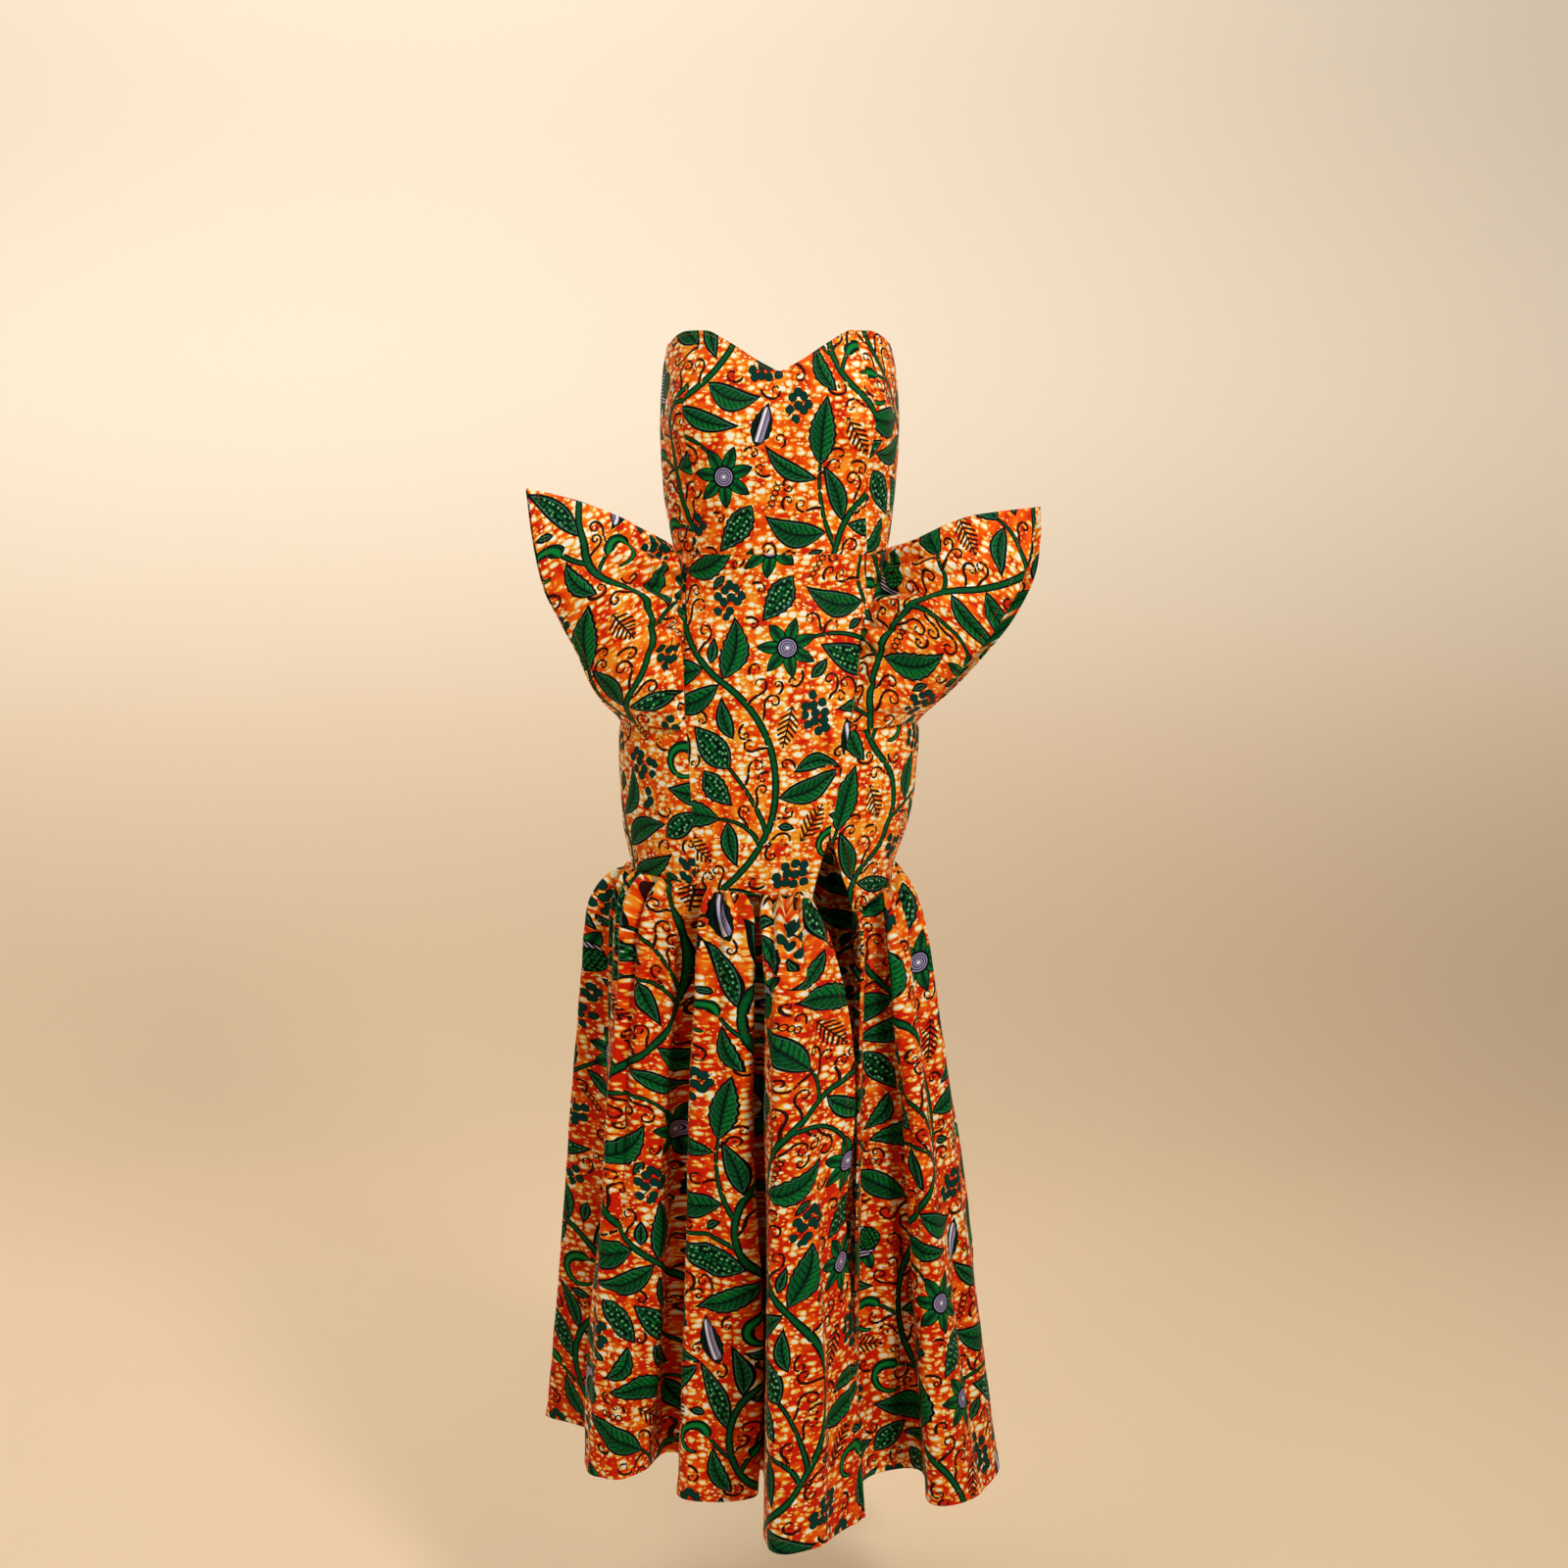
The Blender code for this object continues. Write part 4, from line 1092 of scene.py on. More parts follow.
def motifs_over(s, ink, cloth):
    """Leaves, buds, flowers, berries, ferns and coils over the stems."""
    x, y, code = s.attribute("motif")
    half_length, half_width, bend = s.attribute("motif_size")
    kind = code.math("FLOOR")
    shade = code.part()
    dark = ink.outline
    leaf_ink, bright_ink = ink.leaf, ink.bright_leaf
    lilac, white = ink.lilac, ink.white

    def only(number):
        return abs(kind - float(number)) < 0.5

    def lay(number, inside, fill, outline):
        """The cloth with the motifs of one kind over it, each in its dark outline."""
        return s.blend((inside > 0.0) * only(number), cloth, s.blend(inside < outline, fill, dark))

    along = x / half_length
    cap = (1.0 - along * along).most(0.0)
    rib = abs(y - bend * cap)
    wave = ((x / 9.5 + shade * 3.0).from_middle() - 0.5) * (shade > 0.55) * 0.14
    blade = half_width * cap * (BLADE_WIDTH - BLADE_TAPER * along + wave)
    inside = blade - rib
    share = rib / blade.most(0.2)
    grain = s.noise(s.place(x, y), 0.35, 2.0)

    # Veined leaf.
    light = (share.ramp(0.05, 0.3) * share.ramp(1.0, 0.6)) * (grain.ramp(0.34, 0.58) * 0.7 + shade * 0.3)
    light = light * (1.0 - (y > bend * cap) * 0.5)
    leaf = s.blend(light, leaf_ink, bright_ink)
    vein = ((x - rib * 0.85) / 6.8).from_middle() > 0.76
    leaf = s.blend((vein * (share < 0.82) * 0.9).most(rib < 0.8), leaf, dark)
    leaf = s.blend((abs(inside - 3.3) < 0.5) * 0.45, leaf, ink.rim)
    cloth = lay(LEAF, inside, leaf, 2.7)

    # Bright leaf with glints on both sides of its rib.
    beads = s.cells(s.place(x / 6.2 + shade * 9.0, y / 5.4), 0.5)
    bright = s.blend(beads.ramp(0.24, 0.46), bright_ink, dark)
    bright = s.blend((beads < 0.12) * (abs(share - 0.45) < 0.25), bright, white)
    bright = s.blend(((rib < 1.0) * (abs(along) < 0.72)).most((inside < 5.0) * 0.55), bright, leaf_ink)
    bright = s.blend((abs(inside - 3.3) < 0.5) * 0.45, bright, ink.rim)
    cloth = lay(GLINT_LEAF, inside, bright, 2.7)

    # Dark bud with a pale striped middle.
    off_rib = (y - bend * cap) / half_width + 0.12
    bud = s.blend(abs(off_rib) < 0.44, dark, lilac)
    bud = s.blend(abs(off_rib - 0.2) < 0.13, bud, white)
    hatch = (x / 1.9 + shade).from_middle() > 0.55
    bud = s.blend(hatch * (abs(off_rib + 0.14) < 0.16) * 0.75, bud, dark)
    bud = s.blend((abs(off_rib) < 0.045).most(abs(along) > 0.78), bud, dark)
    bud = s.blend((abs(inside - 3.2) < 0.6) * 0.6, bud, leaf_ink)
    cloth = lay(BUD, inside, bud, 2.2)

    # Blossom with seven pointed petals round a ringed middle.
    out = x.reach(y)
    turn = y.math("ARCTAN2", x)
    petal = (turn * (7.0 / (2.0 * math.pi))).from_middle()
    reach = half_length * (1.04 - 0.52 * petal ** (0.7 + 0.6 * shade))
    edge = (reach - out) * 0.8
    flower = s.blend(petal.ramp(0.15, 0.5) * grain.ramp(0.35, 0.6), leaf_ink, bright_ink)
    flower = s.blend((petal > 0.86).most((petal < 0.06) * (out < half_length * 0.8)), flower, dark)
    ring = s.blend((out / 2.7).from_middle() > 0.52, lilac, dark)
    ring = s.blend(out < 2.3, ring, white)
    flower = s.blend(out < half_length * 0.34, flower, ring)
    flower = s.blend(abs(out - half_length * 0.34) < 1.1, flower, dark)
    cloth = lay(BLOSSOM, edge, flower, 2.2)

    # Seed head in a lilac cup under a fan of sepals.
    head = half_length * 0.43 - (x + half_length * 0.44).reach(y)
    cup = half_length * 0.56 - (x + half_length * 0.20).reach(y * 0.94)
    fan_x = x + half_length * 0.16
    fan_turn = y.math("ARCTAN2", fan_x)
    sepal = ((fan_turn + 1.9) / 0.76).from_middle()
    fan = (half_length * (1.12 - 0.46 * sepal ** 1.2) - fan_x.reach(y)) * 0.7 - (abs(fan_turn) > 1.9) * 99.0
    green = s.blend(sepal.ramp(0.2, 0.6), leaf_ink, bright_ink)
    green = s.blend((fan < 1.8).most(sepal < 0.06), green, dark)
    folds = s.blend(((x * 0.5 + y) / 4.2).from_middle() > 0.48, lilac, dark)
    folds = s.blend(((x * 0.5 + y) / 4.2 + 0.1).from_middle() < 0.2, folds, white)
    seeds = s.blend(s.cells(s.place(x / 4.6, y / 4.6), 0.4).ramp(0.22, 0.44), bright_ink, dark)
    green = s.blend(cup > 0.0, green, folds)
    green = s.blend(abs(cup) < 1.3, green, dark)
    green = s.blend(head > 0.0, green, seeds)
    green = s.blend(abs(head) < 1.3, green, dark)
    cloth = s.blend((head.most(cup).most(fan) > 0.0) * only(CUP_FLOWER), cloth, green)

    # Berries on a thin stalk.
    berry = s.cells(s.place(x / 11.0 + shade * 7.0, y / 11.0), 0.42)
    spot_x, spot_y, _ = s.split(berry.other("Position"))
    from_end = (spot_x - shade * 7.0) * 11.0 / half_length
    from_side = spot_y * 11.0 / half_width
    kept = from_end.reach(from_side) < 0.84
    dot = (0.49 - berry) * 11.0
    fruit = s.blend(dot.ramp(2.6, 4.6), ink.berry, leaf_ink)
    fruit = s.blend(dot < 1.0, fruit, dark)
    stalk = (abs(y) < 0.7) * (abs(x) < half_length * 0.85)
    cloth = s.blend(stalk * only(BERRIES), cloth, ink.tendril)
    cloth = s.blend((dot > 0.0) * kept * only(BERRIES), cloth, fruit)

    # Fern sprig.
    blades = ((x - rib * 0.8) / 6.6).from_middle() < 0.5
    sprig = (blades * (rib < half_width * cap * 0.95)).most(rib < 0.9) * (abs(along) < 0.96)
    cloth = s.blend(sprig * only(FERN), cloth, ink.tendril)

    # Row of small coils.
    loop = ((x / 6.2).part() - 0.5) * 6.2
    coil = (abs(loop.reach(y * 0.8) - 2.8) < 0.72) * (abs(x) < half_length)
    return s.blend(coil * only(COIL), cloth, ink.tendril)


def printed_cotton(ink):
    """The dress's one cloth, with its print on the cloth's own flat map and attributes."""
    s = Shader("printed_cotton", 0.6)
    s.surface.inputs["Specular IOR Level"].default_value = 0.08
    s.surface.inputs["Sheen Weight"].default_value = 0.02
    s.surface.inputs["Sheen Roughness"].default_value = 0.4
    flat = s.node("ShaderNodeUVMap", {"uv_map": "cloth_map"})
    u, v, _ = s.split(flat)
    across, up = u * MILLIMETRES, v * MILLIMETRES
    cloth = dabbed_ground(s, ink, across, up)
    cloth = stems_over(s, ink, cloth)
    cloth = motifs_over(s, ink, cloth)
    s.colour_from(cloth)
    weave = ((across / WEAVE_PITCH).from_middle() + (up / WEAVE_PITCH).from_middle()) * 0.5
    crumple = s.noise(s.place(across, up), 0.09, 3.0)
    s.relief_from(crumple + weave * 0.04, 0.35, 0.0016)
    return s.material


def sewing_thread(ink):
    """The material of the stitches."""
    s = Shader("sewing_thread", 0.5)
    place = s.node("ShaderNodeTexCoord", None, None, "Object")
    twist = s.node("ShaderNodeTexNoise", None, {"Vector": place, "Scale": 900.0, "Detail": 1.0}, "Fac")
    s.colour_from(s.blend(twist.ramp(0.4, 0.6), ink.thread, ink.deep_ground))
    return s.material


def shared_material(name, make, ink):
    """The material of that name, made only once."""
    return bpy.data.materials.get(name) or make(ink)


# The cloth.

SEWN_LINES = {}
WING_PRINT_TURN = math.radians(17.0)
WING_SIZE = np.array((0.17, 0.25))
WING_GRID = (0.19, 0.26)
WING_STEP_SHARE = 0.62
PLEAT_BROAD_SIDE = 1.5
PLEAT_UNDERSIDE = 0.55
PLEAT_START = 0.12
LEAF_GAP_SHARE = 0.30
CREASE_DEPTH = 1.5
PUCKER_DEPTH = 0.22
SEAM_RADIUS = 0.15
SHARP_EDGE = math.radians(75.0)
TOP_TURN = 0.009
SLIT_TURN = 0.014
HEM_TURN = 0.016
WING_TURN = 0.008
EDGE_DOUBLING = 0.9
EDGE_BLEND = 0.003
THREAD_LIFT = 0.00005


def doubled(distance, turn):
    """Share of thickness that a turned edge adds, by the distance from the edge."""
    return EDGE_DOUBLING * smooth_step((turn - distance) / EDGE_BLEND)


def crease_rise(angle, level):
    """How far the fitted body's creases lift or sink its cloth."""
    rise = np.zeros(angle.shape)
    for at, height, half_length, half_width, slant, depth in BODY_CREASES:
        across = np.radians(front_angle(angle - at)) * HALF_WIDTH(height)
        tilt = math.radians(slant)
        run = across * math.cos(tilt) + (level - height) * math.sin(tilt)
        off = (level - height) * math.cos(tilt) - across * math.sin(tilt)
        fade = np.clip(1.0 - (run / (1.5 * half_length)) ** 2, 0.0, 1.0) ** 2
        rise += CREASE_DEPTH * depth * fade * hump(off / half_width)
    return rise


def pucker_rise(angle, level):
    """Small pulls above the low seam, one over each gather."""
    rise = np.zeros(angle.shape)
    above = np.maximum(level - low_seam_level(angle), 0.0)
    for place, length, depth, half_width, _ in GATHERS:
        across = np.radians(front_angle(angle - FOLD_ANGLE(place))) * SEAM_RADIUS
        rise -= PUCKER_DEPTH * depth * hump(across / (1.3 * half_width)) * np.exp(-above / (0.045 * length + 0.006))
    return rise


def ridge_rise(rows, out, turn):
    """How far a wing's fanned ridges lift its cloth."""
    rise = np.zeros(out.shape)
    place = np.stack((out, turn), -1) * WING_SIZE
    for out_a, turn_a, out_b, turn_b, half_width, height in rows:
        start, end = np.array((out_a, turn_a)) * WING_SIZE, np.array((out_b, turn_b)) * WING_SIZE
        length = np.linalg.norm(end - start)
        way = (end - start) / length
        run = ((place - start) @ way) / length
        off = (place - start) @ np.array((-way[1], way[0]))
        side = np.where(off * height > 0.0, PLEAT_BROAD_SIDE, PLEAT_UNDERSIDE)
        spread = half_width * (0.6 + 0.8 * np.clip(run, 0.0, 1.0)) * side
        fade = smooth_step(run / PLEAT_START) * np.clip(1.0 - run, 0.0, 1.0) ** 0.9
        rise += height * fade * hump(off / spread)
    return rise


def close_sheet(node, points, cloth, facing, thickness, settings, ink, print_turn=0.0):
    """Close a thin sheet of cloth round a grid of points, half its wall to each side."""
    normals = grid_normals(points, facing)
    half = thickness[..., None] * settings.wall / 2.0
    columns, rows = points.shape[:2]
    count = columns * rows
    places = np.concatenate(((points + normals * half).reshape(-1, 3), (points - normals * half).reshape(-1, 3)))
    index = np.arange(count).reshape(columns, rows)
    quads = np.stack((index[:-1, :-1], index[1:, :-1], index[1:, 1:], index[:-1, 1:]), -1).reshape(-1, 4)
    border = np.concatenate((index[:, 0], index[-1, 1:], index[-2::-1, -1], index[0, -2:0:-1]))
    following = np.roll(border, -1)
    rim = np.stack((following, border, border + count, following + count), -1)
    corners = np.stack(turned(cloth[..., 0], cloth[..., 1], print_turn), -1).reshape(-1, 2)
    skin_map, rim_map = corners[quads], corners[rim % count]
    faces = np.concatenate((quads, quads[:, ::-1] + count, rim))
    face_map = np.concatenate((skin_map, skin_map[:, ::-1], rim_map))

    def on_both(make):
        for skin, edge in zip(make(skin_map * MILLIMETRES), make(rim_map * MILLIMETRES)):
            yield np.concatenate((skin, skin[:, ::-1], edge))

    values = dict(zip(("motif", "motif_size"), on_both(lambda c: motif_coordinates(c, PRINT_LAYOUT))))
    values.update(zip(("stroke", "stroke_size"), on_both(lambda c: stroke_coordinates(c, PRINT_LAYOUT))))
    if facing < 0.0:
        faces, face_map = faces[:, ::-1], face_map[:, ::-1]
        values = {name: value[:, ::-1] for name, value in values.items()}
    mesh = bpy.data.meshes.new(node + "_cloth")
    mesh.from_pydata(places.tolist(), [], faces.tolist())
    mesh.uv_layers.new(name="cloth_map").uv.foreach_set("vector", face_map.astype(np.float32).ravel())
    for name, value in values.items():
        mesh.attributes.new(name, "FLOAT_VECTOR", "CORNER").data.foreach_set(
            "vector", value.astype(np.float32).ravel())
    mesh.shade_smooth()
    mesh.set_sharp_from_angle(angle=SHARP_EDGE)
    mesh.materials.append(shared_material("printed_cotton", printed_cotton, ink))
    piece = bpy.data.objects.new(node + "_cloth", mesh)
    bpy.context.scene.collection.objects.link(piece)
    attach(piece, BODY)
    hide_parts(node)
    return piece, normals


def keep_sewn_line(name, points, normals, settings, thickness):
    """Remember a line on the outside of the cloth for the stitches."""
    half = np.asarray(thickness)[..., None] * settings.wall / 2.0
    SEWN_LINES.setdefault(name, []).append(points + normals * (half + THREAD_LIFT))


# Columns: place round the body, its two seams in turn to the wearer's left (a column of PRINCESS_SEAMS or an angle),
# start of its cloth on the print for the bodice and for the hips.
BODY_PANELS = (
    ("front", 1, 2, (0.207, 0.130), (0.150, 0.318)),
    ("side_left", 3, 90.0, (0.060, 0.420), (0.330, 0.150)),
    ("back_left", 90.0, 180.0, (0.380, 0.260), (0.100, 0.040)),
    ("back_right", 180.0, 270.0, (0.180, 0.400), (0.290, 0.230)),
    ("side_right", -90.0, 1, (0.010, 0.090), (0.360, 0.470)),
)


def edge_angle(edge, level):
    """The angle of a panel's edge at a level: the edge is a seam's number or the angle itself."""
    return seam_angle(edge, level) if isinstance(edge, int) else np.full(np.shape(level), edge)


def body_grid(storey, start, end, step):
    """Angles and levels over one panel of the bodice or the hips."""
    across = float(np.radians(edge_angle(end, HIP_LEVEL) - edge_angle(start, HIP_LEVEL)) * SEAM_RADIUS)
    shares = dense_at_ends(across, step)

    def angle_at(level):
        return mix(edge_angle(start, level), edge_angle(end, level), shares)

    if storey == "hip":
        bottom = low_seam_level(angle_at(np.full(len(shares), LOW_SEAM[0][1])))
        bottom = low_seam_level(angle_at(bottom))
        top = np.full(len(shares), WAIST_LEVEL)
    else:
        bottom = np.full(len(shares), WAIST_LEVEL)
        top = top_edge_level(angle_at(np.full(len(shares), TOP_EDGE[3][1])))
        top = top_edge_level(angle_at(top))
    rise = dense_at_ends(float(np.mean(top - bottom)), step)
    level = mix(bottom[:, None], top[:, None], rise[None, :])
    angle = mix(edge_angle(start, level), edge_angle(end, level), shares[:, None])
    return angle, level


def add_body_panel(storey, place, start, end, print_start, settings, ink):
    """Make the cloth of one bodice or hip panel."""
    angle, level = body_grid(storey, start, end, settings.step)
    points = body_point(angle, level)
    middle = points.shape[0] // 2
    run = run_along(points, 0)
    heights = run_along(points, 1)
    ladder = np.linspace(level.min(), level.max(), 200)
    climb = run_along(body_point(angle[middle].mean(), ladder), 0)
    up = np.interp(level, ladder, climb) - np.interp(level[middle, 0], ladder, climb)
    cloth = np.stack((run - run[middle] + print_start[0], up + print_start[1]), -1)
    from_start, from_end = run, run[-1] - run
    from_bottom, from_top = heights, heights[:, -1:] - heights
    slit = (storey == "hip" and place in ("front", "side_left"))
    rise = crease_rise(angle, level) + unevenness(cloth, settings.unevenness)
    if storey == "hip":
        rise += pucker_rise(angle, level)
    pinned = np.minimum(from_start, from_end)
    joined = (from_bottom, from_top) if storey == "hip" else (from_bottom,)
    for distance in joined:
        pinned = np.minimum(pinned, distance)
    rise = rise * (0.35 + 0.65 * smooth_step(pinned / 0.008)) - settings.seam_roll * hump(pinned / 0.0026)
    points = points + grid_normals(points, 1.0) * rise[..., None]
    thickness = np.ones(angle.shape)
    if storey == "bodice":
        thickness += doubled(from_top, TOP_TURN)
    slit_edge = None
    if slit:
        slit_edge = from_end if place == "front" else from_start
        thickness += doubled(slit_edge, SLIT_TURN) * smooth_step((SLIT_TOP_LEVEL - level) / 0.004)
    node = storey + "_" + place
    piece, normals = close_sheet(node, points, cloth, 1.0, thickness, settings, ink)
    if storey == "bodice":
        row = int(np.argmin(np.abs(from_top[middle] - 0.005)))
        keep_sewn_line("top_edge", points[:, row], normals[:, row], settings, thickness[:, row])
    if slit:
        column = int(np.argmin(np.abs(slit_edge[:, 4] - 0.010)))
        open_rows = level[column] < SLIT_TOP_LEVEL - 0.008
        keep_sewn_line("slit", points[column, open_rows], normals[column, open_rows], settings,
                       thickness[column, open_rows])


LAST_FOLD = len(FLOUNCE_FOLDS) - 1
SEAM_PLACES = np.linspace(0.0, LAST_FOLD, 100 * LAST_FOLD + 1)
SEAM_RUN = run_along(body_point(FOLD_ANGLE(SEAM_PLACES), low_seam_level(FOLD_ANGLE(SEAM_PLACES))), 0)
HEM_RUN = run_along(hem_point(SEAM_PLACES), 0)
GATHERED_SHARE = 0.50
GATHER_DEPTH = 2.3
GATHER_SWELL = 0.42
GATHER_SWELL_PLACE = 1.9
LOW_FOLD_DEPTH = 2.0
FINE_GATHER_DEPTH = 0.0025
FINE_GATHER_PITCH = 0.0115
FINE_GATHER_LENGTH = 0.075
HEM_RIPPLE = 0.0008
FLOUNCE_DROP = 0.710


def gather_rise(place, drop):
    """How the gathers, the fine pleats beside them and the low folds shape the flounce's cloth."""
    seam_run = np.interp(place, SEAM_PLACES, SEAM_RUN)
    hem_run = np.interp(place, SEAM_PLACES, HEM_RUN)
    rise = np.zeros(place.shape)
    opened = smooth_step(drop / 0.010)
    for at, length, depth, half_width, drift in GATHERS:
        off = seam_run - np.interp(at, SEAM_PLACES, SEAM_RUN) - drift * np.minimum(drop / length, 1.0)
        spread = half_width * (1.0 + 0.5 * np.minimum(drop / length, 1.0))
        fade = GATHER_DEPTH * depth * opened * np.clip(1.0 - drop / (1.8 * length), 0.0, 1.0) ** 1.3
        beside = hump(off / spread - GATHER_SWELL_PLACE) + hump(off / spread + GATHER_SWELL_PLACE)
        rise += fade * (GATHER_SWELL * beside - hump(off / spread))
    for at, start, end, half_width, height, drift in LOW_FOLDS:
        share = np.clip((drop - start) / (end - start), 0.0, 1.0)
        off = (hem_run - np.interp(at, SEAM_PLACES, HEM_RUN)) * mix(0.45, 1.0, drop) - drift * share
        rise += (LOW_FOLD_DEPTH * height * np.sin(math.pi * share) ** 1.3
                 * hump(off / (half_width * (0.7 + 0.5 * share))))
    phase = (2.0 * math.pi * seam_run / FINE_GATHER_PITCH + 1.3 * np.sin(2.0 * math.pi * seam_run / 0.047)
             + 0.9 * np.sin(2.0 * math.pi * seam_run / 0.031 + 1.0))
    rise += FINE_GATHER_DEPTH * np.sin(phase) * smooth_step(drop / 0.006) * np.exp(-drop / FINE_GATHER_LENGTH)
    ripple = np.sin(hem_run / 0.011 + 2.0 * np.sin(hem_run / 0.07))
    return rise + HEM_RIPPLE * ripple * np.exp(-(1.0 - drop) / 0.02)


def add_flounce_piece(node, first, last, print_start, settings, ink):
    """Make the cloth of the flounce from one fold row to another."""
    hem_run = np.interp(np.arange(first, last + 0.01, 0.01), SEAM_PLACES, HEM_RUN)
    shares = dense_at_ends(hem_run[-1] - hem_run[0], settings.step, (0.0020, 0.0036))
    place = np.interp(mix(hem_run[0], hem_run[-1], shares), HEM_RUN, SEAM_PLACES)
    place[0], place[-1] = first, last
    fine = np.array((0.0, 0.0012, 0.0026, 0.0044))
    upper = np.arange(0.0076, 0.075, 0.0034)
    lower = np.linspace(0.079, 0.700, int(0.621 / (settings.step * 1.06)))
    drops = np.concatenate((fine, upper, lower, (0.7055, 0.7085, FLOUNCE_DROP))) / FLOUNCE_DROP
    place, drop = np.broadcast_arrays(place[:, None], drops[None, :])
    points = flounce_point(place, drop)
    runs = np.interp(place, SEAM_PLACES, HEM_RUN)
    middle = (hem_run[0] + hem_run[-1]) / 2.0
    length = run_along(points, 1)[:, -1].mean()
    cloth = np.stack(((runs - middle) * mix(GATHERED_SHARE, 1.0, drop) + print_start[0],
                      print_start[1] - drop * length), -1)
    across = run_along(points, 0)
    from_start, from_end = across, across[-1] - across
    rise = gather_rise(place, drop) + unevenness(cloth, settings.unevenness)
    edges = []
    for distance, is_slit in ((from_start, first == 0), (from_end, last == LAST_FOLD)):
        if is_slit:
            edges.append(distance)
        else:
            rise -= settings.seam_roll * hump(distance / EDGE_BLEND)
    thickness = 1.0 + doubled((1.0 - drop) * length, HEM_TURN)
    for edge in edges:
        rise += 0.0026 * hump((edge - 0.019) / 0.006) * smooth_step(drop / 0.05)
        thickness = np.maximum(thickness, 1.0 + doubled(edge, SLIT_TURN))
    rise *= smooth_step(drop / 0.004)
    points = points + grid_normals(points, -1.0) * rise[..., None]
    piece, normals = close_sheet(node, points, cloth, -1.0, thickness, settings, ink)
    row = int(np.argmin(np.abs((1.0 - drops) * length - 0.013)))
    keep_sewn_line("hem", points[:, row], normals[:, row], settings, thickness[:, row])
    for edge in edges:
        column = int(np.argmin(np.abs(edge[:, -1] - 0.011)))
        keep_sewn_line("slit", points[column, 2:row], normals[column, 2:row], settings, thickness[column, 2:row])


def add_wing(node, print_start, settings, ink):
    """Make the cloth of one wing, with both leaves in one grid."""
    side = WING_ROOTS[node][0]
    step = settings.step * WING_STEP_SHARE
    out = dense_at_ends(WING_GRID[0], step)
    rises = 1.0 - (1.0 - np.linspace(0.0, 1.0, int(WING_GRID[1] / step))) ** 1.35
    out, rise = np.broadcast_arrays(out[:, None], rises[None, :])
    points = np.concatenate((wing_leaf(node, out, rise, True), wing_leaf(node, out, rise, False)[:, -2::-1]), axis=1)
    turn = np.concatenate((rise, 2.0 - rise[:, -2::-1]), axis=1)
    out = np.repeat(out[:, :1], turn.shape[1], axis=1)
    across = run_along(points, 0)
    around = run_along(points, 1)
    cloth = np.stack((print_start[0] + side * across, print_start[1] + around), -1)
    between_leaves = np.linalg.norm(points - points[:, ::-1], axis=-1)
    rise = np.maximum(ridge_rise(WING_RIDGES[node], out, turn), -LEAF_GAP_SHARE * between_leaves)
    rise += (unevenness(cloth, settings.unevenness) + settings.unevenness) * smooth_step(across / 0.02)
    points = points + grid_normals(points, side) * rise[..., None]
    from_edge = across[-1] - across
    thickness = 1.0 + doubled(from_edge, WING_TURN)
    piece, normals = close_sheet(node, points, cloth, side, thickness, settings, ink, side * WING_PRINT_TURN)
    column = int(np.argmin(np.abs(from_edge[:, 8] - 0.006)))
    keep_sewn_line("wing_edges", points[column], normals[column], settings, thickness[column])


# The stitches.

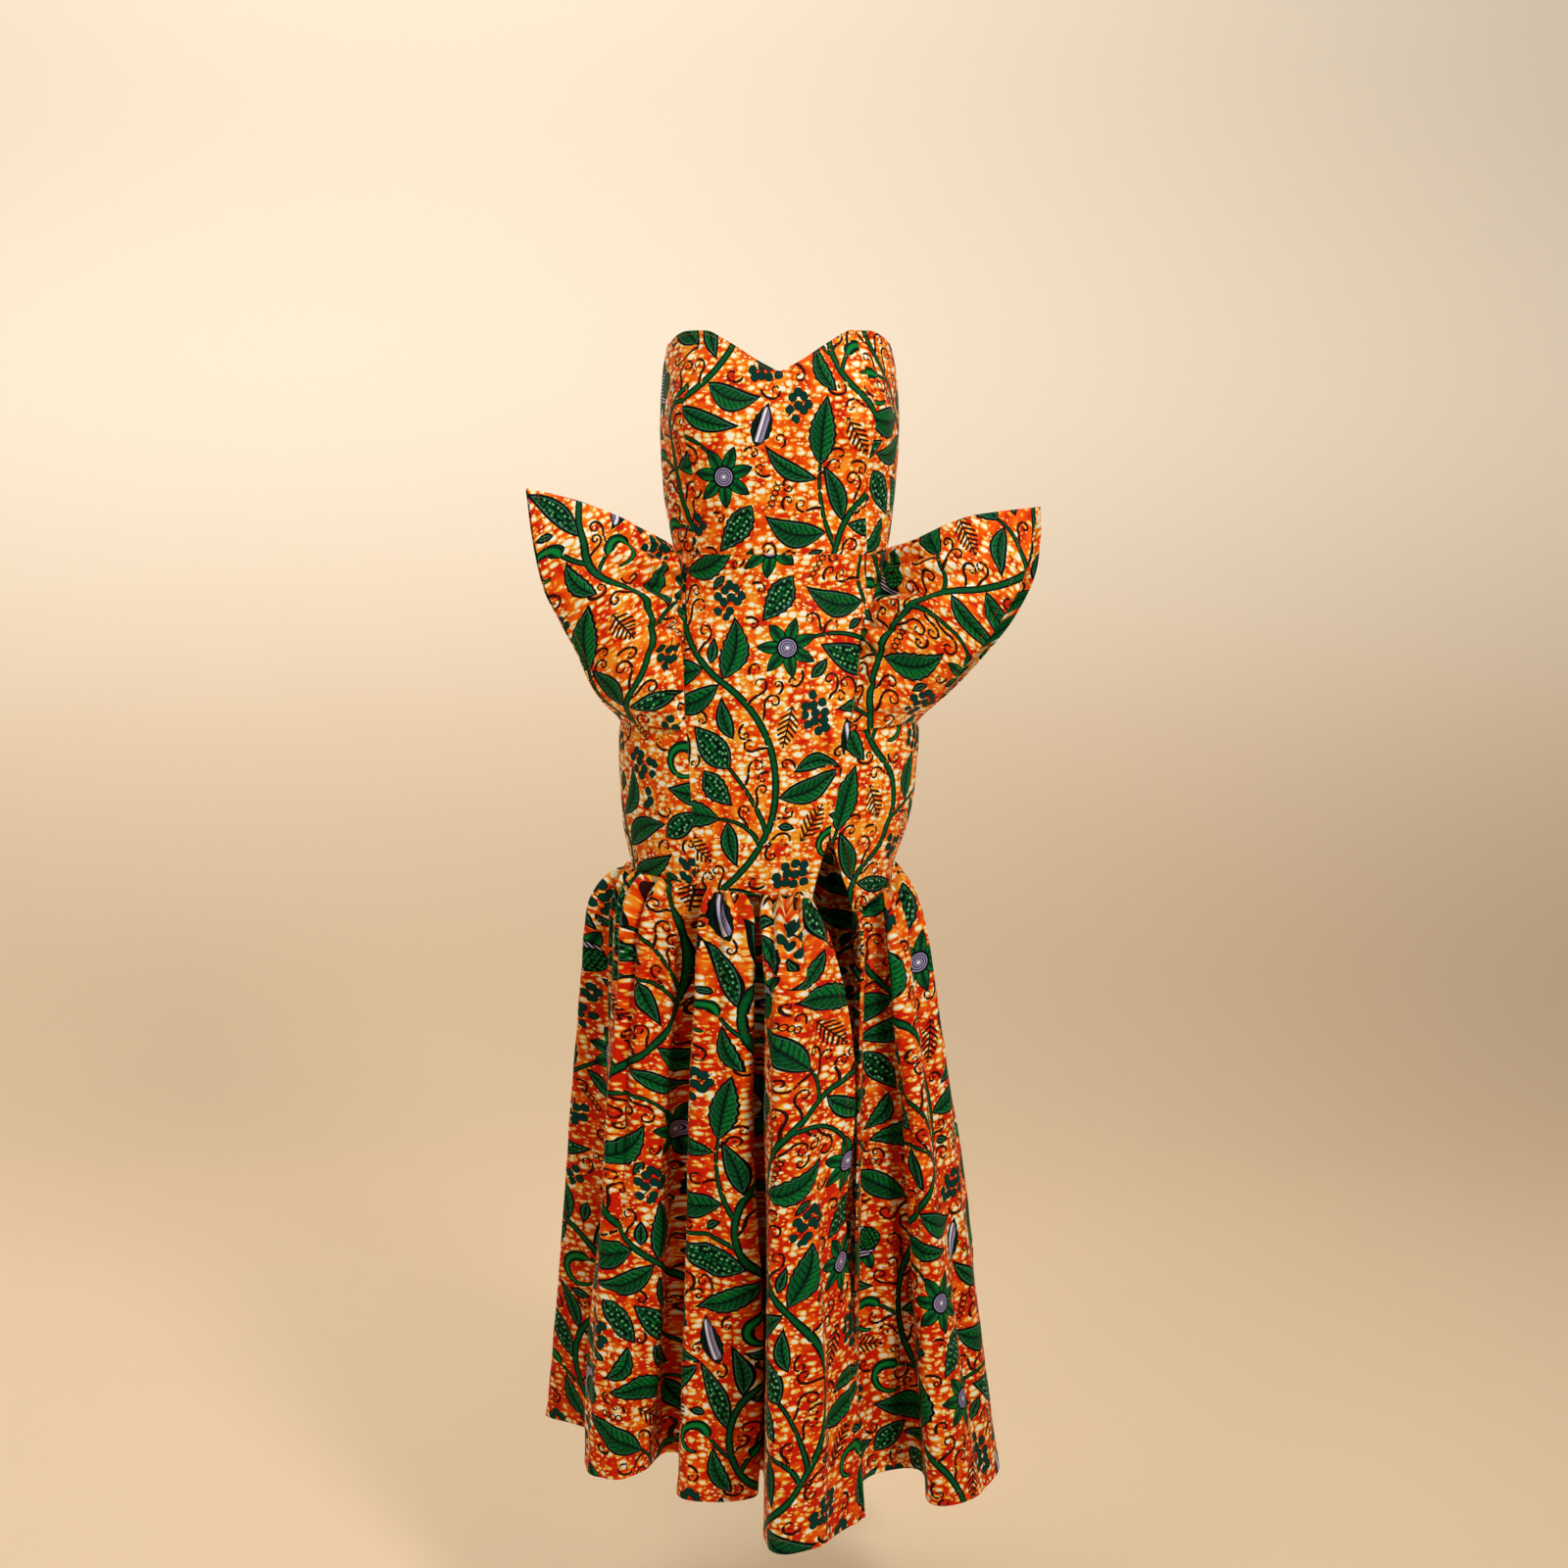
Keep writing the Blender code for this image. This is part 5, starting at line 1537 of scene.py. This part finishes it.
class StitchNodes:
    """A Geometry Nodes tree that sews stitches along the edges of a mesh."""

    def __init__(self):
        self.tree = bpy.data.node_groups.new("stitch_row", "GeometryNodeTree")
        face = self.tree.interface
        face.new_socket("Geometry", in_out="INPUT", socket_type="NodeSocketGeometry")
        kinds = {"Spacing": "Float", "Stitch Length": "Float", "Thread Radius": "Float", "Thread": "Material",
                 "Seed": "Int"}
        self.inputs = {name: face.new_socket(name, in_out="INPUT", socket_type="NodeSocket" + kind)
                       for name, kind in kinds.items()}
        face.new_socket("Geometry", in_out="OUTPUT", socket_type="NodeSocketGeometry")
        given = self.node("NodeGroupInput").outputs
        line = self.node("GeometryNodeMeshToCurve", {"Mesh": given["Geometry"]}).outputs["Curve"]
        spaced = self.node("GeometryNodeResampleCurve", {"Curve": line, "Length": given["Spacing"]},
                           {"mode": "LENGTH"}).outputs["Curve"]
        tangent = self.node("GeometryNodeInputTangent").outputs["Tangent"]
        lay = self.node("FunctionNodeAlignRotationToVector", {"Vector": tangent}, {"axis": "X"}).outputs["Rotation"]
        half = self.node("ShaderNodeMath", {0: given["Stitch Length"], 1: 0.5}, {"operation": "MULTIPLY"}).outputs[0]
        sides = self.node("ShaderNodeCombineXYZ",
                          {"X": half, "Y": given["Thread Radius"], "Z": given["Thread Radius"]}).outputs[0]
        bead = self.node("GeometryNodeMeshUVSphere", {"Segments": 6, "Rings": 4, "Radius": 1.0}).outputs["Mesh"]
        stitch = self.node("GeometryNodeTransform", {"Geometry": bead, "Scale": sides}).outputs["Geometry"]
        size = self.node("FunctionNodeRandomValue", {"Min": (0.86, 0.9, 0.9), "Max": (1.08, 1.1, 1.1),
                                                     "Seed": given["Seed"]}, {"data_type": "FLOAT_VECTOR"})
        rows = self.node("GeometryNodeInstanceOnPoints",
                         {"Points": spaced, "Instance": stitch, "Rotation": lay, "Scale": size.outputs["Value"]})
        real = self.node("GeometryNodeRealizeInstances", {"Geometry": rows.outputs["Instances"]})
        smooth = self.node("GeometryNodeSetShadeSmooth", {"Geometry": real.outputs["Geometry"]})
        dyed = self.node("GeometryNodeSetMaterial",
                         {"Geometry": smooth.outputs["Geometry"], "Material": given["Thread"]})
        self.node("NodeGroupOutput", {"Geometry": dyed.outputs["Geometry"]})

    def node(self, kind, sockets=None, settings=None):
        made = self.tree.nodes.new(kind)
        for key, value in (settings or {}).items():
            setattr(made, key, value)
        for key, value in (sockets or {}).items():
            if isinstance(value, bpy.types.NodeSocket):
                self.tree.links.new(value, made.inputs[key])
            else:
                made.inputs[key].default_value = value
        return made

    def sew(self, name, lines, values):
        """One piece of stitches along polylines, as a plain mesh."""
        points = np.concatenate(lines)
        starts = np.cumsum([0] + [len(line) for line in lines])
        edges = [(i, i + 1) for a, b in zip(starts[:-1], starts[1:]) for i in range(a, b - 1)]
        path = bpy.data.meshes.new(name + "_path")
        path.from_pydata(points.tolist(), edges, [])
        holder = bpy.data.objects.new(name + "_path", path)
        bpy.context.scene.collection.objects.link(holder)
        modifier = holder.modifiers.new("stitches", "NODES")
        modifier.node_group = self.tree
        for key, value in values.items():
            modifier[self.inputs[key].identifier] = value
        shown = holder.evaluated_get(bpy.context.evaluated_depsgraph_get())
        mesh = bpy.data.meshes.new_from_object(shown)
        mesh.name = name
        bpy.data.objects.remove(holder)
        bpy.data.meshes.remove(path)
        piece = bpy.data.objects.new(name, mesh)
        bpy.context.scene.collection.objects.link(piece)
        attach(piece, BODY)
        return piece


# The stage.

CAMERA_PLACE = (0.0117, -2.40, -0.114)
CAMERA_DIP = 0.1262
CAMERA_LENS = 46.125
FLOOR_LEVEL = HEM_LEVEL - 0.30
BACKDROP_REACH = 14.0
WALL_PLACE = 2.75
WALL_HEIGHT = 4.2
WALL_CURVE = 0.9
# The backdrop's painted light: far from the dress the paper glows in the colour of the air, and nearer it glows a
# little all over, more at the left and less higher up, standing in for lamp light on it.
FAR_MIDDLE = 1.2
FAR_RANGE = (3.0, 4.8)
GLOW_ALL_OVER = 0.22
GLOW_AT_LEFT = 0.30
GLOW_REACH = 2.6
GLOW_LOST_ABOVE = 0.45
GLOW_LEVELS = (0.2, 1.1)

# Columns: name, place, point it faces, width, power, colour.
LIGHTS = (
    ("key", (1.3, -2.1, 1.25), (0.0, 0.0, -0.25), 0.6, 51.0, (1.0, 0.97, 0.93)),
    ("fill", (-1.7, -2.2, 0.9), (0.0, 0.0, -0.4), 0.9, 11.0, (1.0, 0.97, 0.94)),
    ("back_left", (0.9, 2.4, 1.7), (0.9, -1.0, 1.5), 0.9, 22.0, (1.0, 0.97, 0.94)),
    ("back_right", (-0.9, 2.4, 1.7), (-0.9, -1.0, 1.5), 0.9, 22.0, (1.0, 0.97, 0.94)),
    ("wall_top", (-0.9, 0.3, 3.1), (-0.6, 2.75, -0.3), 2.4, 68.0, (1.0, 0.98, 0.96)),
)


def backdrop_paper(stage):
    """Pale paper with painted light and shade: it glows a little as painted lamp light, most at the left, turns into
    the air far from the dress by its glow, and is painted darker towards the floor as shade.
    """
    s = Shader("backdrop_paper", 0.9)
    s.surface.inputs["Specular IOR Level"].default_value = 0.1
    x, y, height = s.split(s.node("ShaderNodeTexCoord", None, None, "Object"))
    far = x.reach(y - FAR_MIDDLE).ramp(*FAR_RANGE)
    # Painted shade: the paper turns to the darker floor colour lower down.
    paper = s.blend(height.ramp(FLOOR_LEVEL + 0.2, 0.2), stage.floor, stage.backdrop)
    black = (0.0, 0.0, 0.0, 1.0)
    # Painted light: a glow all over, more at the left and less higher up.
    glow = x.ramp(GLOW_REACH, -GLOW_REACH) * GLOW_AT_LEFT + GLOW_ALL_OVER
    glow = glow * (1.0 - height.ramp(*GLOW_LEVELS) * GLOW_LOST_ABOVE)
    s.colour_from(s.blend(far, paper, black))
    s.glow_from(s.blend(far, s.blend(glow, black, paper), stage.air), stage.seen_strength)
    return s.material


def add_backdrop(stage):
    """A floor that curves up into a wall behind the dress and passes into the pale air far from it."""
    profile = [(-BACKDROP_REACH, 0.0), (-1.5, 0.0), (0.6, 0.0)]
    profile += [(WALL_PLACE - WALL_CURVE * (1.0 - math.sin(t)), WALL_CURVE * (1.0 - math.cos(t)))
                for t in np.linspace(0.0, math.pi / 2.0, 25)]
    profile.append((WALL_PLACE, WALL_HEIGHT))
    places = [(x, y, FLOOR_LEVEL + z) for y, z in profile for x in (-BACKDROP_REACH, BACKDROP_REACH)]
    faces = [(2 * i, 2 * i + 1, 2 * i + 3, 2 * i + 2) for i in range(len(profile) - 1)]
    mesh = bpy.data.meshes.new("backdrop")
    mesh.from_pydata(places, [], faces)
    mesh.shade_smooth()
    mesh.materials.append(backdrop_paper(stage))
    backdrop = bpy.data.objects.new("backdrop", mesh)
    bpy.context.scene.collection.objects.link(backdrop)


def add_lights(stage):
    """Round lamps, each aimed at its target."""
    for name, place, target, width, power, colour in LIGHTS:
        light = bpy.data.lights.new(name, "AREA")
        light.shape = "DISK"
        light.size = width
        light.energy = power * stage.brightness
        light.color = colour
        lamp = bpy.data.objects.new(name, light)
        lamp.location = place
        away = Vector(target) - Vector(place)
        lamp.rotation_euler = away.to_track_quat("-Z", "Y").to_euler()
        lamp.visible_camera = False
        bpy.context.scene.collection.objects.link(lamp)


def add_camera():
    """The camera, in front of the dress."""
    lens = bpy.data.cameras.new("camera")
    lens.lens = CAMERA_LENS
    lens.clip_end = 50.0
    camera = bpy.data.objects.new("camera", lens)
    camera.location = CAMERA_PLACE
    camera.rotation_euler = (math.pi / 2.0 - CAMERA_DIP, 0.0, 0.0)
    bpy.context.scene.collection.objects.link(camera)
    bpy.context.scene.camera = camera


def light_the_air(stage):
    """Even light from all round, and the air that the camera sees."""
    world = bpy.data.worlds.new("studio_air")
    world.use_nodes = True
    nodes, links = world.node_tree.nodes, world.node_tree.links
    lit = nodes["Background"]
    seen = nodes.new("ShaderNodeBackground")
    for background, strength in ((lit, stage.air_strength), (seen, stage.seen_strength)):
        background.inputs["Color"].default_value = tuple(stage.air)
        background.inputs["Strength"].default_value = strength
    either = nodes.new("ShaderNodeMixShader")
    links.new(nodes.new("ShaderNodeLightPath").outputs["Is Camera Ray"], either.inputs[0])
    links.new(lit.outputs[0], either.inputs[1])
    links.new(seen.outputs[0], either.inputs[2])
    links.new(either.outputs[0], nodes["World Output"].inputs["Surface"])
    bpy.context.scene.world = world


# The add-on.

def length_prop(name, description, default):
    return bpy.props.FloatProperty(name=name, description=description, default=default, min=0.0,
                                   precision=5, unit="LENGTH")


def number_prop(name, description, default):
    return bpy.props.FloatProperty(name=name, description=description, default=default, min=0.0)


def dyed(red, green, blue):
    """A colour of the screen's scale as light, with full cover."""
    return tuple((part / 255.0) ** 2.2 for part in (red, green, blue)) + (1.0,)


def ink_prop(name, description, *screen):
    return bpy.props.FloatVectorProperty(name=name, description=description, default=dyed(*screen), size=4,
                                         min=0.0, max=1.0, subtype="COLOR")


class DressCloth(bpy.types.PropertyGroup):
    step: length_prop("Grid Step", "Distance between the points of the cloth", 0.0042)
    wall: length_prop("Cloth Thickness", "Thickness of the single cloth", 0.0009)
    seam_roll: length_prop("Seam Roll", "How far the cloth sinks into a seam", 0.0011)
    unevenness: length_prop("Unevenness", "Height of the small waves all over the cloth", 0.00035)


class DressStitches(bpy.types.PropertyGroup):
    spacing: length_prop("Spacing", "Distance from stitch to stitch", 0.0036)
    length: length_prop("Stitch Length", "Length of one stitch", 0.0026)
    radius: length_prop("Thread Radius", "Half the thickness of the thread", 0.00026)


class DressInks(bpy.types.PropertyGroup):
    ground: ink_prop("Ground", "Orange of the ground", 250, 92, 6)
    # Also painted shade: the ground takes more of this redder orange lower down, over the flounce.
    deep_ground: ink_prop("Deep Ground", "Redder orange in drifts over the ground", 216, 36, 6)
    halo: ink_prop("Halo", "Yellow round the pale dabs", 255, 188, 52)
    cream: ink_prop("Dabs", "Cream of the pale dabs", 255, 250, 226)
    leaf: ink_prop("Leaf", "Dark green of leaves and stems", 2, 62, 36)
    bright_leaf: ink_prop("Bright Leaf", "Lighter green inside leaves", 12, 132, 54)
    rim: ink_prop("Leaf Rim", "Pale line inside the outlines", 84, 140, 122)
    outline: ink_prop("Outline", "Black-green of the outlines", 6, 20, 18)
    lilac: ink_prop("Lilac", "Lilac of buds and cups", 168, 156, 200)
    white: ink_prop("White", "White of glints", 240, 236, 245)
    berry: ink_prop("Berry", "Dark blue-green of the berries", 4, 62, 56)
    tendril: ink_prop("Tendril", "Brown-black of tendrils and ferns", 50, 18, 12)
    thread: ink_prop("Thread", "Orange of the sewing thread", 240, 100, 30)


class DressStage(bpy.types.PropertyGroup):
    backdrop: ink_prop("Backdrop", "Colour of the wall", 246, 233, 213)
    # Painted shade: the paper darkens to this colour towards the floor.
    floor: ink_prop("Floor", "Colour of the floor", 216, 192, 160)
    air: ink_prop("Air", "Colour of the light from all round", 235, 222, 205)
    air_strength: number_prop("Air Strength", "Strength of the light from all round", 0.02)
    # Also how strongly the backdrop's painted glow shines.
    seen_strength: number_prop("Seen Strength", "How bright the air looks past the backdrop", 0.8)
    brightness: number_prop("Brightness", "Strength of the lamps", 1.0)


class DRESS_OT_bodice(bpy.types.Operator):
    """Cut the five panels of the bodice and close them round the bust"""
    bl_idname = "dress.bodice"
    bl_label = "Bodice"

    def execute(self, context):
        for place, start, end, bodice_print, _ in BODY_PANELS:
            add_body_panel("bodice", place, start, end, bodice_print, context.scene.dress_cloth,
                           context.scene.dress_inks)
        return {"FINISHED"}


class DRESS_OT_hips(bpy.types.Operator):
    """Cut the five panels of the hips, with the top of the slit"""
    bl_idname = "dress.hips"
    bl_label = "Hips"

    def execute(self, context):
        for place, start, end, _, hip_print in BODY_PANELS:
            add_body_panel("hip", place, start, end, hip_print, context.scene.dress_cloth,
                           context.scene.dress_inks)
        return {"FINISHED"}


class DRESS_OT_wings(bpy.types.Operator):
    """Fold the two pleated wings at the hips"""
    bl_idname = "dress.wings"
    bl_label = "Hip Wings"

    def execute(self, context):
        for node, print_start in (("wing_right", (0.29, 0.21)), ("wing_left", (0.055, 0.085))):
            add_wing(node, print_start, context.scene.dress_cloth, context.scene.dress_inks)
        return {"FINISHED"}


class DRESS_OT_flounce(bpy.types.Operator):
    """Gather the four pieces of the flounce under the low seam"""
    bl_idname = "dress.flounce"
    bl_label = "Flounce"

    def execute(self, context):
        for node, first, last, print_start in FLOUNCE_PIECES:
            add_flounce_piece(node, first, last, print_start, context.scene.dress_cloth,
                              context.scene.dress_inks)
        return {"FINISHED"}


class DRESS_OT_stitches(bpy.types.Operator):
    """Sew the rows of stitches along the hem, the slit, the top edge and the wings"""
    bl_idname = "dress.stitches"
    bl_label = "Stitches"

    def execute(self, context):
        if not SEWN_LINES:
            raise RuntimeError("the cloth is made first")
        nodes = StitchNodes()
        rows = context.scene.dress_stitches
        thread = shared_material("sewing_thread", sewing_thread, context.scene.dress_inks)
        for seed, (name, lines) in enumerate(sorted(SEWN_LINES.items())):
            nodes.sew("stitches_" + name, lines, {
                "Spacing": rows.spacing, "Stitch Length": rows.length, "Thread Radius": rows.radius,
                "Thread": thread, "Seed": seed})
        return {"FINISHED"}


class DRESS_OT_stage(bpy.types.Operator):
    """Set the camera, the lamps and the pale backdrop"""
    bl_idname = "dress.stage"
    bl_label = "Stage"

    def execute(self, context):
        stage = context.scene.dress_stage
        add_backdrop(stage)
        add_lights(stage)
        add_camera()
        light_the_air(stage)
        context.scene.view_settings.view_transform = "Standard"
        return {"FINISHED"}


class DRESS_PT_build(bpy.types.Panel):
    bl_label = "Strapless Dress"
    bl_idname = "DRESS_PT_build"
    bl_space_type = "VIEW_3D"
    bl_region_type = "UI"
    bl_category = "Dress"

    def draw(self, context):
        for name in GROUPS:
            box = self.layout.box()
            group = getattr(context.scene, name)
            for key in group.__annotations__:
                box.prop(group, key)
        for operator in OPERATORS:
            self.layout.operator(operator.bl_idname)


GROUPS = {"dress_cloth": DressCloth, "dress_stitches": DressStitches, "dress_inks": DressInks,
          "dress_stage": DressStage}
OPERATORS = (DRESS_OT_bodice, DRESS_OT_hips, DRESS_OT_wings, DRESS_OT_flounce, DRESS_OT_stitches, DRESS_OT_stage)


def register():
    for made in (*GROUPS.values(), *OPERATORS, DRESS_PT_build):
        bpy.utils.register_class(made)
    for name, group in GROUPS.items():
        setattr(bpy.types.Scene, name, bpy.props.PointerProperty(type=group))


def unregister():
    for name in GROUPS:
        delattr(bpy.types.Scene, name)
    for made in reversed((*GROUPS.values(), *OPERATORS, DRESS_PT_build)):
        bpy.utils.unregister_class(made)


def main():
    register()
    bpy.ops.dress.bodice()
    bpy.ops.dress.hips()
    bpy.ops.dress.wings()
    bpy.ops.dress.flounce()
    bpy.ops.dress.stitches()
    bpy.ops.dress.stage()


if __name__ == "__main__":
    main()
